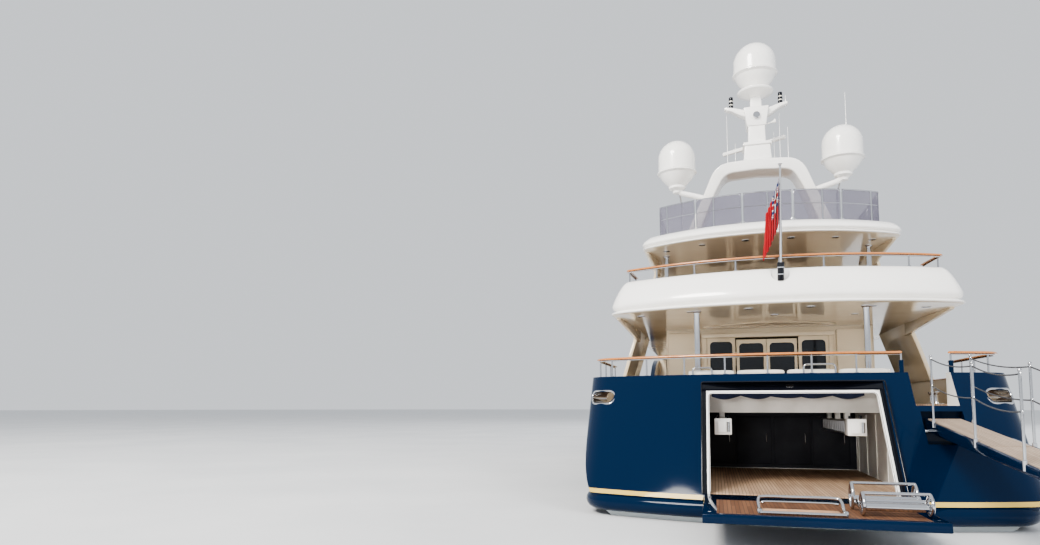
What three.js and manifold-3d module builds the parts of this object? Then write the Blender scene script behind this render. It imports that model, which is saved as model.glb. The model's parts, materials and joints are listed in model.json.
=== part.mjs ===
// Motor yacht, 46 m long, as a 1:2 scale model: a navy hull with an open garage in its stern,
// three decks, and a mast with three domes on a radar arch.
//
// Every size below is the real yacht's, in metres: x to starboard, y forward from the foot of the
// transom, z up from the water. MODEL_MM turns a metre of the yacht into millimetres of the model.

import * as THREE from 'three';
import { mergeVertices } from 'three/addons/utils/BufferGeometryUtils.js';
import Module from 'manifold-3d';

const MODEL_MM = 500;
const GAP = 0.0008;

// Levels above the water
const GARAGE_FLOOR = 0.62;
const MAIN_DECK = 2.5;
const BULWARK_TOP = 3.2;
const SOFFIT = 4.97;
const UPPER_DECK = 5.27;
const UPPER_BAND_TOP = 5.92;
const SUN_SOFFIT = 7.47;
const SUN_DECK = 7.7;
const SUN_BAND_TOP = 7.91;
const FOREDECK = 4.15;
const ARCH_TOP = 11.1;
const TEAK = 0.04;

// Transom: it slopes forward by RAKE for each metre up, from y = 0 at the garage floor
const RAKE = 0.7;
const transomY = (z) => RAKE * (z - GARAGE_FLOOR);
const STERN = { half: 4.76, sweep: 11.6, corner: 0.8 };
const ROLL = { z: 0.31, radius: 0.2, forward: 9 };

// Stern door, its recess and the garage behind it
const DOOR = { half: 1.9, reach: 2.78, root: 0.05, thick: 0.16, clearance: 0.03, pin: 0.03 };
const SLANT = Math.hypot(1, RAKE);
const RECESS_DEPTH = (DOOR.thick + 0.01) * SLANT;
const DOORWAY = { half: 1.84, top: 2.81 };
const GARAGE = { half: 2.3, front: 7, ceiling: 2.33, raised: 2.85, raisedFront: 3.4, wall: 0.35 };
const LINING = 0.04;
const GARAGE_SILL = GARAGE_FLOOR - TEAK - LINING;

// Bulwark gate, the pocket for the gangway below it, and the oval fairleads
const GATE = { left: 2.5, right: 3.4 };
const PASSERELLE = {
  left: 2.62, right: 3.36, root: 1.6, end: -4.55, top: 2.2, slope: 0.115, rootDepth: 0.26, endDepth: 0.12,
};
const PASSERELLE_PIN = { y: 1.3, z: 1.93, radius: 0.04 };
const POCKET_SIDE = 0.06;
const FAIRLEAD = { x: 4.38, y: 2.31, z: 2.67, half: 0.35, radius: 0.14, turn: 32 };

// Deck plans: half breadth, sweep of the after edge, corner radius, ends
const UPPER = {
  aft: 2.9, half: 4.4, sweep: 8.9, corner: 0.6,
  front: 35.6, noseHalf: 3.75, noseSweep: 6, noseCorner: 1.5, waist: 26,
};
const SUN = {
  aft: 6, half: 3.8, sweep: 6.3, corner: 0.5,
  front: 28.8, noseHalf: 3.2, noseSweep: 6, noseCorner: 1.2, waist: 20,
};
const WELL_FRONT = 23.95;
const FOREDECK_AFT = 34.8;

// Main deckhouse and wheelhouse block
const HOUSE = { half: 3.15, aft: 8.6, front: 23.94, wall: 0.12 };
const BRIDGE = { half: 3, aft: 12.5, front: 30.2, lean: 0.8, wall: 0.12 };
const DOOR_LEAF = { width: 0.93, thick: 0.05, top: 4.63 };
const BRIDGE_DOOR = { aft: 24.53, front: 25.17, bottom: 5.3, top: 7.12, head: 7.15, pinX: 2.97, pinY: 25.14 };

// Domes, mast and arch
const MAST_Y = 10.5;
const SIDE_DOME = { x: 2.8, base: 10.45, radius: 0.66, height: 1.7 };
const TOP_DOME = { base: 13.72, radius: 0.73, height: 1.75 };
const SCANNER = { y: 12.4, z: 12.35, half: 1.3 };

// Ensign staff in its socket
const STAFF = { footY: 3.1, socketFoot: 5.556, head: 8.16, lean: 0.26, radius: 0.03 };

// Shafts, propellers and rudders
const SHAFT = { x: 1.9, propY: 5.6, propZ: -1.95, hullY: 12.6, hullZ: -1.45, radius: 0.07 };
const PROPELLER = { radius: 0.75, hub: 0.15, length: 0.5, blades: 5 };
const RUDDER = {
  y: 3.5, top: -1.02, bottom: -2.5, fore: 0.42, aft: 0.95, thick: 0.16, stock: 0.09, socketTop: -0.25,
};

// Finishes
const finish = (color, roughness, metalness = 0) => (
  new THREE.MeshStandardMaterial({ color, roughness, metalness })
);
const NAVY = finish(0x0b2f5b, 0.12);
const CREAM = finish(0xf1ece0, 0.25);
const WHITE = finish(0xf6f5f1, 0.3);
const TEAK_DECK = finish(0x8a7360, 0.7);
const TEAK_CAP = finish(0xb5652c, 0.25);
const STEEL = finish(0xc9ccd0, 0.18, 1);
const GLASS = finish(0x1c222b, 0.08);
const TINTED = new THREE.MeshStandardMaterial({
  color: 0x5b5f86, roughness: 0.05, transparent: true, opacity: 0.5,
});
const BRONZE = finish(0xa8763a, 0.3, 1);
const RED = finish(0xb5121f, 0.8);
const TAN = finish(0xc79a72, 0.6);

const wasm = await Module();
wasm.setup();

// Solids in and out of the boolean library

function toSolid(geometry) {
  const bare = geometry.clone();
  bare.deleteAttribute('normal');
  bare.deleteAttribute('uv');
  const merged = mergeVertices(bare, 1e-5);
  const triangles = [];
  const corners = merged.index.array;
  for (let i = 0; i < corners.length; i += 3) {
    const [a, b, c] = [corners[i], corners[i + 1], corners[i + 2]];
    if (a !== b && b !== c && c !== a) triangles.push(a, b, c);
  }
  return new wasm.Manifold(new wasm.Mesh({
    numProp: 3,
    vertProperties: new Float32Array(merged.attributes.position.array),
    triVerts: new Uint32Array(triangles),
  }));
}

function toGeometry(solid) {
  const mesh = solid.getMesh();
  const geometry = new THREE.BufferGeometry();
  geometry.setAttribute('position', new THREE.BufferAttribute(new Float32Array(mesh.vertProperties), 3));
  geometry.setIndex(new THREE.BufferAttribute(new Uint32Array(mesh.triVerts), 1));
  return geometry;
}

const join = (...shapes) => toGeometry(shapes.map(toSolid).reduce((sum, next) => sum.add(next)));
const cut = (shape, ...tools) =>
  toGeometry(tools.map(toSolid).reduce((rest, tool) => rest.subtract(tool), toSolid(shape)));
const common = (shape, tool) => toGeometry(toSolid(shape).intersect(toSolid(tool)));
const mirrored = (geometry) => flip(geometry.clone().scale(-1, 1, 1));

function flip(geometry) {
  const index = geometry.index.array;
  for (let i = 0; i < index.length; i += 3) [index[i], index[i + 1]] = [index[i + 1], index[i]];
  return geometry;
}

// Basic shapes

function box(x0, x1, y0, y1, z0, z1) {
  const geometry = new THREE.BoxGeometry(x1 - x0, y1 - y0, z1 - z0);
  return geometry.translate((x0 + x1) / 2, (y0 + y1) / 2, (z0 + z1) / 2);
}

// A closed skin through rings that all have the same number of [x, y, z] points
function loft(rings) {
  const count = rings[0].length;
  const position = rings.flat(2);
  const index = [];
  for (let r = 0; r + 1 < rings.length; r++) {
    for (let i = 0; i < count; i++) {
      const a = r * count + i;
      const b = r * count + (i + 1) % count;
      index.push(a, b, b + count, a, b + count, a + count);
    }
  }
  const last = (rings.length - 1) * count;
  for (const [a, b, c] of capTriangles(rings[0])) index.push(c, b, a);
  for (const [a, b, c] of capTriangles(rings.at(-1))) index.push(last + a, last + b, last + c);
  const geometry = new THREE.BufferGeometry();
  geometry.setAttribute('position', new THREE.Float32BufferAttribute(position, 3));
  geometry.setIndex(index);
  return signedVolume(geometry) < 0 ? flip(geometry) : geometry;
}

function capTriangles(ring) {
  const normal = [0, 0, 0];
  ring.forEach((p, i) => {
    const q = ring[(i + 1) % ring.length];
    for (const k of [0, 1, 2]) {
      const [m, n] = [(k + 1) % 3, (k + 2) % 3];
      normal[k] += p[m] * q[n] - p[n] * q[m];
    }
  });
  const sizes = normal.map(Math.abs);
  const drop = sizes.indexOf(Math.max(...sizes));
  const flat = ring.map((p) => new THREE.Vector2(p[(drop + 1) % 3], p[(drop + 2) % 3]));
  const area = THREE.ShapeUtils.area(flat);
  return THREE.ShapeUtils.triangulateShape(flat, []).map(([a, b, c]) => {
    const sameWay = THREE.ShapeUtils.area([flat[a], flat[b], flat[c]]) * area > 0;
    return sameWay ? [a, b, c] : [a, c, b];
  });
}

function signedVolume(geometry) {
  const at = (i) => new THREE.Vector3().fromBufferAttribute(geometry.attributes.position, i);
  const index = geometry.index.array;
  let sum = 0;
  for (let i = 0; i < index.length; i += 3) {
    sum += at(index[i]).dot(at(index[i + 1]).cross(at(index[i + 2])));
  }
  return sum / 6;
}

const level = (plan, z) => plan.map(([x, y]) => [x, y, z]);
const prism = (plan, z0, z1) => loft([level(plan, z0), level(plan, z1)]);
const sideCut = (profile, x0, x1) => loft([x0, x1].map((x) => profile.map(([y, z]) => [x, y, z])));
const rectangle = (x0, x1, y0, y1) => [[x0, y0], [x1, y0], [x1, y1], [x0, y1]];

function rod(from, to, radius, sides = 10) {
  const a = new THREE.Vector3(...from);
  const b = new THREE.Vector3(...to);
  const geometry = new THREE.CylinderGeometry(radius, radius, a.distanceTo(b), sides);
  geometry.applyQuaternion(new THREE.Quaternion().setFromUnitVectors(
    new THREE.Vector3(0, 1, 0),
    b.clone().sub(a).normalize(),
  ));
  return geometry.translate(...a.add(b).multiplyScalar(0.5).toArray());
}

function tube(points, radius, steps, sides = 8) {
  const section = new THREE.Shape();
  for (let i = 0; i < sides; i++) {
    const angle = (i / sides) * 2 * Math.PI;
    const method = i ? 'lineTo' : 'moveTo';
    section[method](radius * Math.cos(angle), radius * Math.sin(angle));
  }
  const curve = new THREE.CatmullRomCurve3(points.map((p) => new THREE.Vector3(...p)), false, 'centripetal');
  return new THREE.ExtrudeGeometry(section, { steps, extrudePath: curve, bevelEnabled: false });
}

// A round shape about the vertical through (x, y), from [radius, z] pairs
function turned(profile, x, y, sides = 24) {
  const geometry = new THREE.LatheGeometry(profile.map(([r, z]) => new THREE.Vector2(r, z)), sides);
  return orient(geometry.rotateX(Math.PI / 2).translate(x, y, 0));
}

function orient(geometry) {
  return signedVolume(geometry) < 0 ? flip(geometry) : geometry;
}

// A flat bar that follows a plan path, between two heights
function bar(path, width, z0, z1) {
  const rings = path.map(([x, y], i) => {
    const [xa, ya] = path[Math.max(i - 1, 0)];
    const [xb, yb] = path[Math.min(i + 1, path.length - 1)];
    const run = Math.hypot(xb - xa, yb - ya);
    const [nx, ny] = [(-(yb - ya) / run) * width / 2, ((xb - xa) / run) * width / 2];
    return [[x - nx, y - ny, z0], [x + nx, y + ny, z0], [x + nx, y + ny, z1], [x - nx, y - ny, z1]];
  });
  return loft(rings);
}

// Plans

// The rounded end that the transom and the decks share, from starboard round to port: a corner arc
// out of the side, a wide arc across, and the other corner. Its middle is at y = inset.
function roundedEnd({ half, sweep, corner }, inset = 0, cornerSteps = 5, sweepSteps = 5) {
  const radius = Math.max(corner - inset, 0.08);
  const wide = sweep - inset;
  const centreX = half - inset - radius;
  const centreY = sweep - Math.sqrt((wide - radius) ** 2 - centreX ** 2);
  const turn = Math.asin(centreX / (wide - radius));
  const starboard = [];
  for (let i = 0; i <= cornerSteps; i++) {
    const angle = -(i / cornerSteps) * (Math.PI / 2 - turn);
    starboard.push([centreX + radius * Math.cos(angle), centreY + radius * Math.sin(angle)]);
  }
  for (let i = 1; i < sweepSteps; i++) {
    const angle = turn * (1 - i / sweepSteps);
    starboard.push([wide * Math.sin(angle), sweep - wide * Math.cos(angle)]);
  }
  const port = starboard.map(([x, y]) => [-x, y]).reverse();
  return [...starboard, [0, inset], ...port];
}

function deckPlan(deck, inset = 0) {
  const after = roundedEnd(deck, inset).map(([x, y]) => [x, deck.aft + y]);
  const nose = { half: deck.noseHalf, sweep: deck.noseSweep, corner: deck.noseCorner };
  const fore = roundedEnd(nose, inset).map(([x, y]) => [x, deck.front - y]);
  const waist = deck.half - inset;
  return [...after, [-waist, deck.waist], ...fore.reverse(), [waist, deck.waist]];
}

// Hull form: y, half breadth at the top, keel height, fullness, roundness of the bilge, top height
const STATIONS = [
  [-1.0, 4.66, -0.8, 6.0, 1.6, BULWARK_TOP],
  [3.0, 4.73, -0.95, 6.0, 1.6, BULWARK_TOP],
  [8.0, 4.77, -1.35, 6.0, 1.5, BULWARK_TOP],
  [14.0, 4.78, -2.05, 5.5, 1.4, BULWARK_TOP],
  [18.5, 4.78, -2.4, 5.0, 1.35, BULWARK_TOP],
  [20.0, 4.78, -2.45, 4.8, 1.3, 3.5],
  [22.2, 4.78, -2.5, 4.5, 1.3, 4.62],
  [23.8, 4.77, -2.5, 4.2, 1.25, SOFFIT - GAP],
  [29.0, 4.68, -2.5, 3.4, 1.15, SOFFIT - GAP],
  [33.0, 4.43, -2.46, 2.85, 1.07, SOFFIT - GAP],
  [36.0, 4.07, -2.36, 2.45, 1.03, SOFFIT - GAP],
  [38.0, 3.72, -2.2, 2.2, 1.0, 5.02],
  [41.5, 2.75, -1.6, 1.8, 1.0, 5.12],
  [43.5, 1.85, -0.7, 1.5, 1.0, 5.2],
  [44.7, 1.15, 0.9, 1.3, 1.0, 5.26],
  [45.6, 0.5, 3.2, 1.1, 1.0, 5.3],
  [46.0, 0.12, 4.6, 1.0, 1.0, 5.32],
];
const RISE = [0, 0.02, 0.06, 0.12, 0.2, 0.3, 0.42, 0.56, 0.7, 0.85, 1];
const KEEL_HALF = 0.05;

function station(y) {
  const after = STATIONS.findIndex((row) => row[0] >= y);
  const b = STATIONS[Math.max(after, 1)];
  const a = STATIONS[Math.max(after, 1) - 1];
  const t = (y - a[0]) / (b[0] - a[0]);
  const [, top, keel, full, round, height] = a.map((value, i) => value + t * (b[i] - value));
  return { top, keel, full, round, height };
}

function breadth(y, z) {
  const { top, keel, full, round, height } = station(y);
  const rise = THREE.MathUtils.clamp((z - keel) / (height - keel), 0, 1);
  return Math.max(KEEL_HALF, top * (1 - (1 - rise) ** full) ** (1 / round));
}

function hullBody() {
  return loft(STATIONS.map(([y, , keel, , , height]) => {
    const side = RISE.map((rise) => {
      const z = keel + rise * (height - keel);
      return [breadth(y, z), y, z];
    });
    return [...side, ...side.map(([x, , z]) => [-x, y, z]).reverse()];
  }));
}

// Everything forward of the raked, rounded stern; below the roll the stern tucks in
function sternEnvelope() {
  const levels = [[-3, 0.6], [0.12, 0.18], [0.5, -0.06], [GARAGE_FLOOR, 0], [6, transomY(6)]];
  return loft(levels.map(([z, shift]) => {
    const end = roundedEnd(STERN, 0, 6, 6).map(([x, y]) => [x, y + shift, z]);
    return [...end, [-5, 6, z], [-5, 50, z], [5, 50, z], [5, 6, z]];
  }));
}

// Half-round roll that wraps the stern above the boot strip
function sternRoll() {
  const path = roundedEnd({ ...STERN, half: 4.5 }, 0.08, 6, 6).map(([x, y]) => [x, y, ROLL.z]);
  path.unshift([4.4, ROLL.forward, ROLL.z]);
  path.push([-4.4, ROLL.forward, ROLL.z]);
  return tube(path, ROLL.radius, 40, 10);
}

// A slab that follows the transom's rake between two heights, from near to far behind its face
function doorBand(z0, z1, near, far, half) {
  const [low, high] = [transomY(z0), transomY(z1)];
  return sideCut([[low + near, z0], [low + far, z0], [high + far, z1], [high + near, z1]], -half, half);
}

function garageProfile(shrink) {
  const g = GARAGE;
  const low = GARAGE_SILL + shrink;
  const high = g.raised - shrink;
  return [
    [transomY(low) + g.wall + shrink, low], [g.front - shrink, low],
    [g.front - shrink, g.ceiling - shrink], [g.raisedFront - shrink, g.ceiling - shrink],
    [g.raisedFront - shrink, high], [transomY(high) + g.wall + shrink, high],
  ];
}

function fairleadCut(side) {
  const { x, y, z, half, radius, turn } = FAIRLEAD;
  const slot = new THREE.Shape();
  slot.absarc(half - radius, 0, radius, -Math.PI / 2, Math.PI / 2);
  slot.absarc(radius - half, 0, radius, Math.PI / 2, -Math.PI / 2);
  const hole = new THREE.ExtrudeGeometry(slot, { depth: 2, curveSegments: 8, bevelEnabled: false });
  hole.translate(0, 0, -1).rotateX(Math.PI / 2).rotateZ(side * THREE.MathUtils.degToRad(turn));
  return hole.translate(side * x, y, z);
}

// Outline of a deck well: the hull's inside at its floor, from the stern or a bulkhead forward
function wellPlan(z, inset, ys, after) {
  const port = ys.map((y) => [-(breadth(y, z) - inset), y]);
  return [...after, ...port, ...port.map(([x, y]) => [-x, y]).reverse()];
}

const MAIN_WELL_INSET = 0.2;
function mainWell(inset, z0, z1) {
  const reach = transomY(BULWARK_TOP) + 0.1;
  const after = roundedEnd(STERN, MAIN_WELL_INSET + inset).map(([x, y]) => [x, y + reach]);
  const ys = [6, 10, 14, 18.5, 22.2, WELL_FRONT - inset];
  return prism(wellPlan(MAIN_DECK, MAIN_WELL_INSET + inset, ys, after), z0, z1);
}

function foredeckWell(inset, z0, z1) {
  const ys = [FOREDECK_AFT + inset, 38, 41.5, 43.5, 44.6 - inset];
  return prism(wellPlan(FOREDECK, 0.22 + inset, ys, []), z0, z1);
}

const ANCHOR = { y: 42.3, z: 3.4, wall: 1.72, half: 0.42 };

function hull() {
  const shell = join(common(hullBody(), sternEnvelope()), sternRoll());
  const recess = doorBand(0.46, 3.0, -0.6, RECESS_DEPTH, DOOR.half + DOOR.clearance);
  const recessHalf = DOOR.half + DOOR.clearance;
  const rootNotch = box(-recessHalf, recessHalf, -1, RECESS_DEPTH, 0.42, GARAGE_FLOOR);
  const doorway = doorBand(GARAGE_SILL, DOORWAY.top, 0.1, GARAGE.wall + 0.1, DOORWAY.half);
  const garage = sideCut(garageProfile(0), -GARAGE.half, GARAGE.half);
  const gate = box(GATE.left, GATE.right, -1, 2.9, MAIN_DECK - TEAK, 4);
  const pocket = box(PASSERELLE.left - POCKET_SIDE, PASSERELLE.right + POCKET_SIDE, -1, 1.9, 1.66, 2.34);
  const [socketX, socketY] = [SHAFT.x, RUDDER.y];
  const socketRadius = RUDDER.stock + 0.012;
  const socket = rod([socketX, socketY, -1.4], [socketX, socketY, RUDDER.socketTop], socketRadius, 16);
  const { y, z, wall, half } = ANCHOR;
  const anchorPocket = box(wall, 4, y - half - 0.08, y + half + 0.08, z - 0.62, z + 0.5);
  return cut(
    shell, recess, rootNotch, doorway, garage, gate, pocket,
    socket, mirrored(socket), anchorPocket, mirrored(anchorPocket), fairleadCut(-1), fairleadCut(1),
    mainWell(0, MAIN_DECK - TEAK, 7), foredeckWell(0, FOREDECK - TEAK, 7),
  );
}

// Garage

function garageLining() {
  const outer = sideCut(garageProfile(GAP), GAP - GARAGE.half, GARAGE.half - GAP);
  const [sill, head] = [GARAGE_SILL + GAP, DOORWAY.top - GAP];
  const collar = doorBand(sill, head, RECESS_DEPTH + 0.01, GARAGE.wall + 0.1, DOORWAY.half - GAP);
  const inner = sideCut(garageProfile(LINING), LINING - GARAGE.half, GARAGE.half - LINING);
  const [floor, top] = [GARAGE_FLOOR - TEAK, DOORWAY.top - 0.05];
  const mouth = doorBand(floor, top, -0.2, GARAGE.wall + 0.2, DOORWAY.half - 0.05);
  const beam = garageBeam();
  const hingeRoom = box(-3, 3, -1, RECESS_DEPTH + 0.01, 0, GARAGE_FLOOR + 0.01);
  return join(cut(join(outer, collar), inner, mouth, hingeRoom), beam, mirrored(beam));
}

function garageFloor() {
  const inside = GARAGE.half - LINING - GAP;
  const aft = GARAGE.wall + LINING + 0.01;
  const plan = rectangle(-inside, inside, aft, GARAGE.front - LINING - GAP);
  return prism(plan, GARAGE_FLOOR - TEAK + GAP, GARAGE_FLOOR);
}

// Overhead launching beam with its end box, hung from the garage ceiling
function garageBeam() {
  const ceiling = GARAGE.ceiling - LINING / 2;
  const beam = box(1.37, 1.57, 2.5, 6.6, 1.88, 2.08);
  const endBox = box(1.28, 1.66, 2.35, 2.75, 1.78, 2.15);
  const hangers = [3.6, 5, 6.4].map((y) => box(1.41, 1.53, y - 0.08, y + 0.08, 2, ceiling));
  return join(beam, endBox, ...hangers);
}

// Stern door, shown open as a bathing platform. Its pins lie PIN_DEPTH below its top face, where
// its outer skin closes flush with the transom.
const PIN_DEPTH = 0.04;
const HINGE = {
  y: transomY(GARAGE_FLOOR - PIN_DEPTH) + (DOOR.thick - PIN_DEPTH) * SLANT,
  z: GARAGE_FLOOR - PIN_DEPTH,
};
const PLATFORM = GARAGE_FLOOR;

function transomDoor() {
  const [aft, fore] = [HINGE.y - DOOR.reach, HINGE.y + DOOR.root];
  const slab = box(-DOOR.half, DOOR.half, aft, fore, PLATFORM - DOOR.thick, PLATFORM);
  const pinEnd = DOOR.half + DOOR.clearance - GAP;
  return join(slab, rod([-pinEnd, HINGE.y, HINGE.z], [pinEnd, HINGE.y, HINGE.z], DOOR.pin, 12));
}

// Bathing ladder folded flat on the platform: two rails, a top bow, a tan tread panel
function bathingLadder() {
  const z = PLATFORM + 0.04;
  const bow = tube([
    [-0.95, -2.55, z], [-0.95, -2.0, z + 0.16], [-0.85, -1.9, z + 0.2],
    [0.3, -1.9, z + 0.2], [0.4, -2.0, z + 0.16], [0.4, -2.55, z],
  ], 0.028, 22);
  const feet = rod([-0.95, -2.55, z], [0.4, -2.55, z], 0.028, 8);
  const panel = box(-0.97, 0.42, -2.5, -2.06, z - 0.039, z + 0.01);
  return join(bow, feet, panel);
}

// Folded boarding steps beside it: three round bars between two hooped ends
function boardingSteps() {
  const [left, right, y, z] = [0.6, 1.66, -1.75, PLATFORM + 0.0011];
  const bars = [[0.12, 0.16, 0.07], [-0.54, 0.18, 0.07], [-0.2, 0.43, 0.035], [-0.2, 0.05, 0.035]]
    .map(([dy, dz, r]) => rod([left, y + dy, z + dz], [right, y + dy, z + dz], r, 10));
  const hoops = [left, right].map((x) => tube([
    [x, y + 0.08, z + 0.05], [x, y + 0.14, z + 0.25], [x, y + 0.02, z + 0.4], [x, y - 0.4, z + 0.42],
    [x, y - 0.56, z + 0.28], [x, y - 0.52, z + 0.05], [x, y - 0.2, z + 0.05], [x, y + 0.07, z + 0.05],
  ], 0.03, 28));
  return join(...bars, ...hoops);
}

// Gangway on its pin, in a pocket of the transom below the gate
const gangwayTop = (y) => PASSERELLE.top + PASSERELLE.slope * (y - PASSERELLE.root);

function passerelle() {
  const { left, right, root, end, rootDepth, endDepth } = PASSERELLE;
  const beam = sideCut([
    [root, gangwayTop(root)], [root, gangwayTop(root) - rootDepth],
    [end, gangwayTop(end) - endDepth], [end, gangwayTop(end)],
  ], left, right);
  const { y, z, radius } = PASSERELLE_PIN;
  const pin = rod([left - POCKET_SIDE + GAP, y, z], [right + POCKET_SIDE - GAP, y, z], radius, 12);
  return join(beam, pin);
}

// Posts and ropes along one edge of the gangway
function passerelleRail(x, [first, middle, last]) {
  const above = (y, height) => [x, y, gangwayTop(y) + height];
  const posts = [first, middle, last].map((y) => rod(above(y, 0), above(y, 1.35), 0.02, 8));
  const ropes = [0.75, 1.3].map((height) => rod(above(first, height), above(last, height), 0.012, 6));
  return cut(join(...posts, ...ropes), passerelle(), passerelle().translate(0, 0, GAP));
}

// Aft deck

function loungeBase() {
  const well = mainWell(GAP, MAIN_DECK + GAP, MAIN_DECK + 0.5);
  const block = common(box(-2.42, 2.42, 1.5, 3.56, MAIN_DECK, 4), well);
  return cut(block, box(-GARAGE.half, GARAGE.half, 1, 3.42, 2, 2.9));
}

function sunpad() {
  const base = MAIN_DECK + 0.5 + GAP;
  return box(-2.3, 2.3, 2.45, 3.48, base, base + 0.16);
}

function mainDeckTeak() {
  const hatch = box(-2.36, 2.36, 1, 3.5, 2, 3);
  return cut(mainWell(GAP, MAIN_DECK - TEAK + GAP, MAIN_DECK), hatch);
}

const bulwarkPath = (inset, reach) => {
  const end = roundedEnd(STERN, inset, 5, 6).map(([x, y]) => [x, y + transomY(BULWARK_TOP)]);
  return [[STERN.half - inset, reach], ...end, [inset - STERN.half, reach]];
};

// A rail on posts over part of a path; the posts stand at every point that is kept
function rail(path, z0, z1) {
  const posts = path.map(([x, y]) => rod([x, y, z0 + GAP], [x, y, z1 - 0.02], 0.022, 6));
  return join(bar(path, 0.11, z1 - 0.05, z1), bar(path, 0.04, z1 - 0.09, z1 - 0.02), ...posts);
}

const RAIL_TOP = 3.69;
const UPPER_RAIL_TOP = 6.27;
const AFT_RAIL = bulwarkPath(0.17, 6.4);
const portOfGate = [[GATE.left - 0.1, 2.2], ...AFT_RAIL.filter(([x]) => x < GATE.left - 0.4)];
const starboardOfGate = [...AFT_RAIL.filter(([x]) => x > GATE.right + 0.1), [GATE.right + 0.1, 2.58]];

// A raked side plate that carries a deck's edge, from its foot on the bulwark to its head
function deckPlate(foot, head, z0, z1) {
  return loft([level(rectangle(...foot), z0), level(rectangle(...head), z1)]);
}

// The wedge that joins a plate to the deck's corner; each end holds y, x and its lower edge
function deckWing(after, forward, thick, top) {
  return loft([after, forward].map(([y, x, low]) => [
    [x, y, low], [x + thick, y, low], [x + thick, y, top], [x, y, top],
  ]));
}

// Decks: outer edge as [z, inset] levels, and the well that the bulwark band stands round
function deckSlab(deck, levels, floor, bandInset, top) {
  const slab = loft(levels.map(([z, inset]) => level(deckPlan(deck, inset), z)));
  const foot = level(deckPlan(deck, bandInset + 0.1), floor - TEAK);
  const well = loft([foot, level(deckPlan(deck, bandInset), top + 0.1)]);
  return cut(slab, well);
}

function upperDeck() {
  const levels = [
    [SOFFIT, 0.22], [5.01, 0.03], [5.06, 0], [5.3, 0.04],
    [5.62, 0.16], [5.84, 0.32], [UPPER_BAND_TOP, 0.45],
  ];
  const niche = box(-0.13, 0.13, 2, 3.3, STAFF.socketFoot - 0.0205, 6.2);
  const foot = [4.5, 4.62, 8, 11.6];
  const plate = join(
    deckPlate(foot, [4, 4.12, 8.3, 12], BULWARK_TOP + GAP, SOFFIT + 0.02),
    deckWing([4.9, 4.2, 4.93], [8.5, 4, 4.6], 0.12, SOFFIT + 0.03),
  );
  return join(cut(deckSlab(UPPER, levels, UPPER_DECK, 0.57, UPPER_BAND_TOP), niche), plate, mirrored(plate));
}

function sunDeck() {
  const levels = [[SUN_SOFFIT, 0.3], [7.5, 0.06], [7.56, 0], [7.7, 0.05], [7.84, 0.2], [SUN_BAND_TOP, 0.34]];
  const foot = [3.78, 3.88, 9.6, 12.4];
  const plate = join(
    deckPlate(foot, [3.36, 3.46, 9.3, 11.6], UPPER_BAND_TOP + GAP, SUN_SOFFIT + 0.02),
    deckWing([7.7, 3.6, 7.42], [9.5, 3.36, 7], 0.1, SUN_SOFFIT + 0.03),
  );
  return join(deckSlab(SUN, levels, SUN_DECK, 0.64, SUN_BAND_TOP), plate, mirrored(plate));
}

const deckTeak = (deck, bandInset, z) => prism(deckPlan(deck, bandInset + 0.101), z - TEAK + GAP, z);

// Houses

function housePlan(half, aft, front, inset) {
  const side = half - inset;
  const nose = [[side, front - 3.2], [side * 0.93, front - 1.7 - inset], [side * 0.6, front - 0.5 - inset]];
  return [
    [-side, aft + inset], [side, aft + inset], ...nose, [0, front - inset],
    ...nose.map(([x, y]) => [-x, y]).reverse(),
  ];
}

// One box through both side walls for each window
const windowBoxes = (half, ys, width, z0, z1) => ys.flatMap((y) => {
  const opening = box(half - 0.4, half + 0.4, y, y + width, z0, z1);
  return [opening, mirrored(opening)];
});

const HOUSE_WINDOWS = { ys: [10.2, 12.9, 15.6, 18.3, 21], width: 2.3, z0: 3.35, z1: 4.45 };

function mainDeckhouse() {
  const { half, aft, front, wall } = HOUSE;
  const outer = prism(rectangle(-half, half, aft, front), MAIN_DECK + GAP, SOFFIT - GAP);
  const inner = prism(rectangle(wall - half, half - wall, aft + wall, front - wall), 2, 6);
  const doorway = box(-1.84, 1.84, aft - 0.5, aft + 0.5, 2, DOOR_LEAF.top + 0.04);
  const { ys, width, z0, z1 } = HOUSE_WINDOWS;
  const shell = cut(outer, inner, doorway, ...windowBoxes(half, ys, width, z0, z1));
  const sideLight = doorLeaf(0.96, 1.86, aft + 0.005, MAIN_DECK + GAP, DOOR_LEAF.top + 0.06);
  return join(shell, sideLight, mirrored(sideLight));
}

// One U-shaped pane stands inside the windows of each house
function houseGlass() {
  const outside = HOUSE.half - HOUSE.wall - GAP;
  const front = HOUSE.front - HOUSE.wall - GAP;
  const inside = box(0.03 - outside, outside - 0.03, 9, front - 0.03, 3, 5);
  return cut(box(-outside, outside, 9.8, front, 3.2, 4.6), inside);
}

// One glazed leaf of the after doors, framed all round
function doorLeaf(x0, x1, y, z0, top) {
  const frame = box(x0, x1, y, y + DOOR_LEAF.thick, z0, top);
  const pane = [[y - 1, y + 0.012], [y + DOOR_LEAF.thick - 0.012, y + 1]]
    .map(([a, b]) => box(x0 + 0.09, x1 - 0.09, a, b, z0 + 0.12, top - 0.1));
  return cut(frame, ...pane);
}

const BRIDGE_TOP = SUN_SOFFIT - GAP;

function bridgeShell(inset, z0, z1) {
  const front = (z) => BRIDGE.front - BRIDGE.lean * (z - UPPER_DECK);
  return loft([z0, z1].map((z) => level(housePlan(BRIDGE.half, BRIDGE.aft, front(z), inset), z)));
}

const SKY_DOOR_TOP = 7.2;

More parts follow.
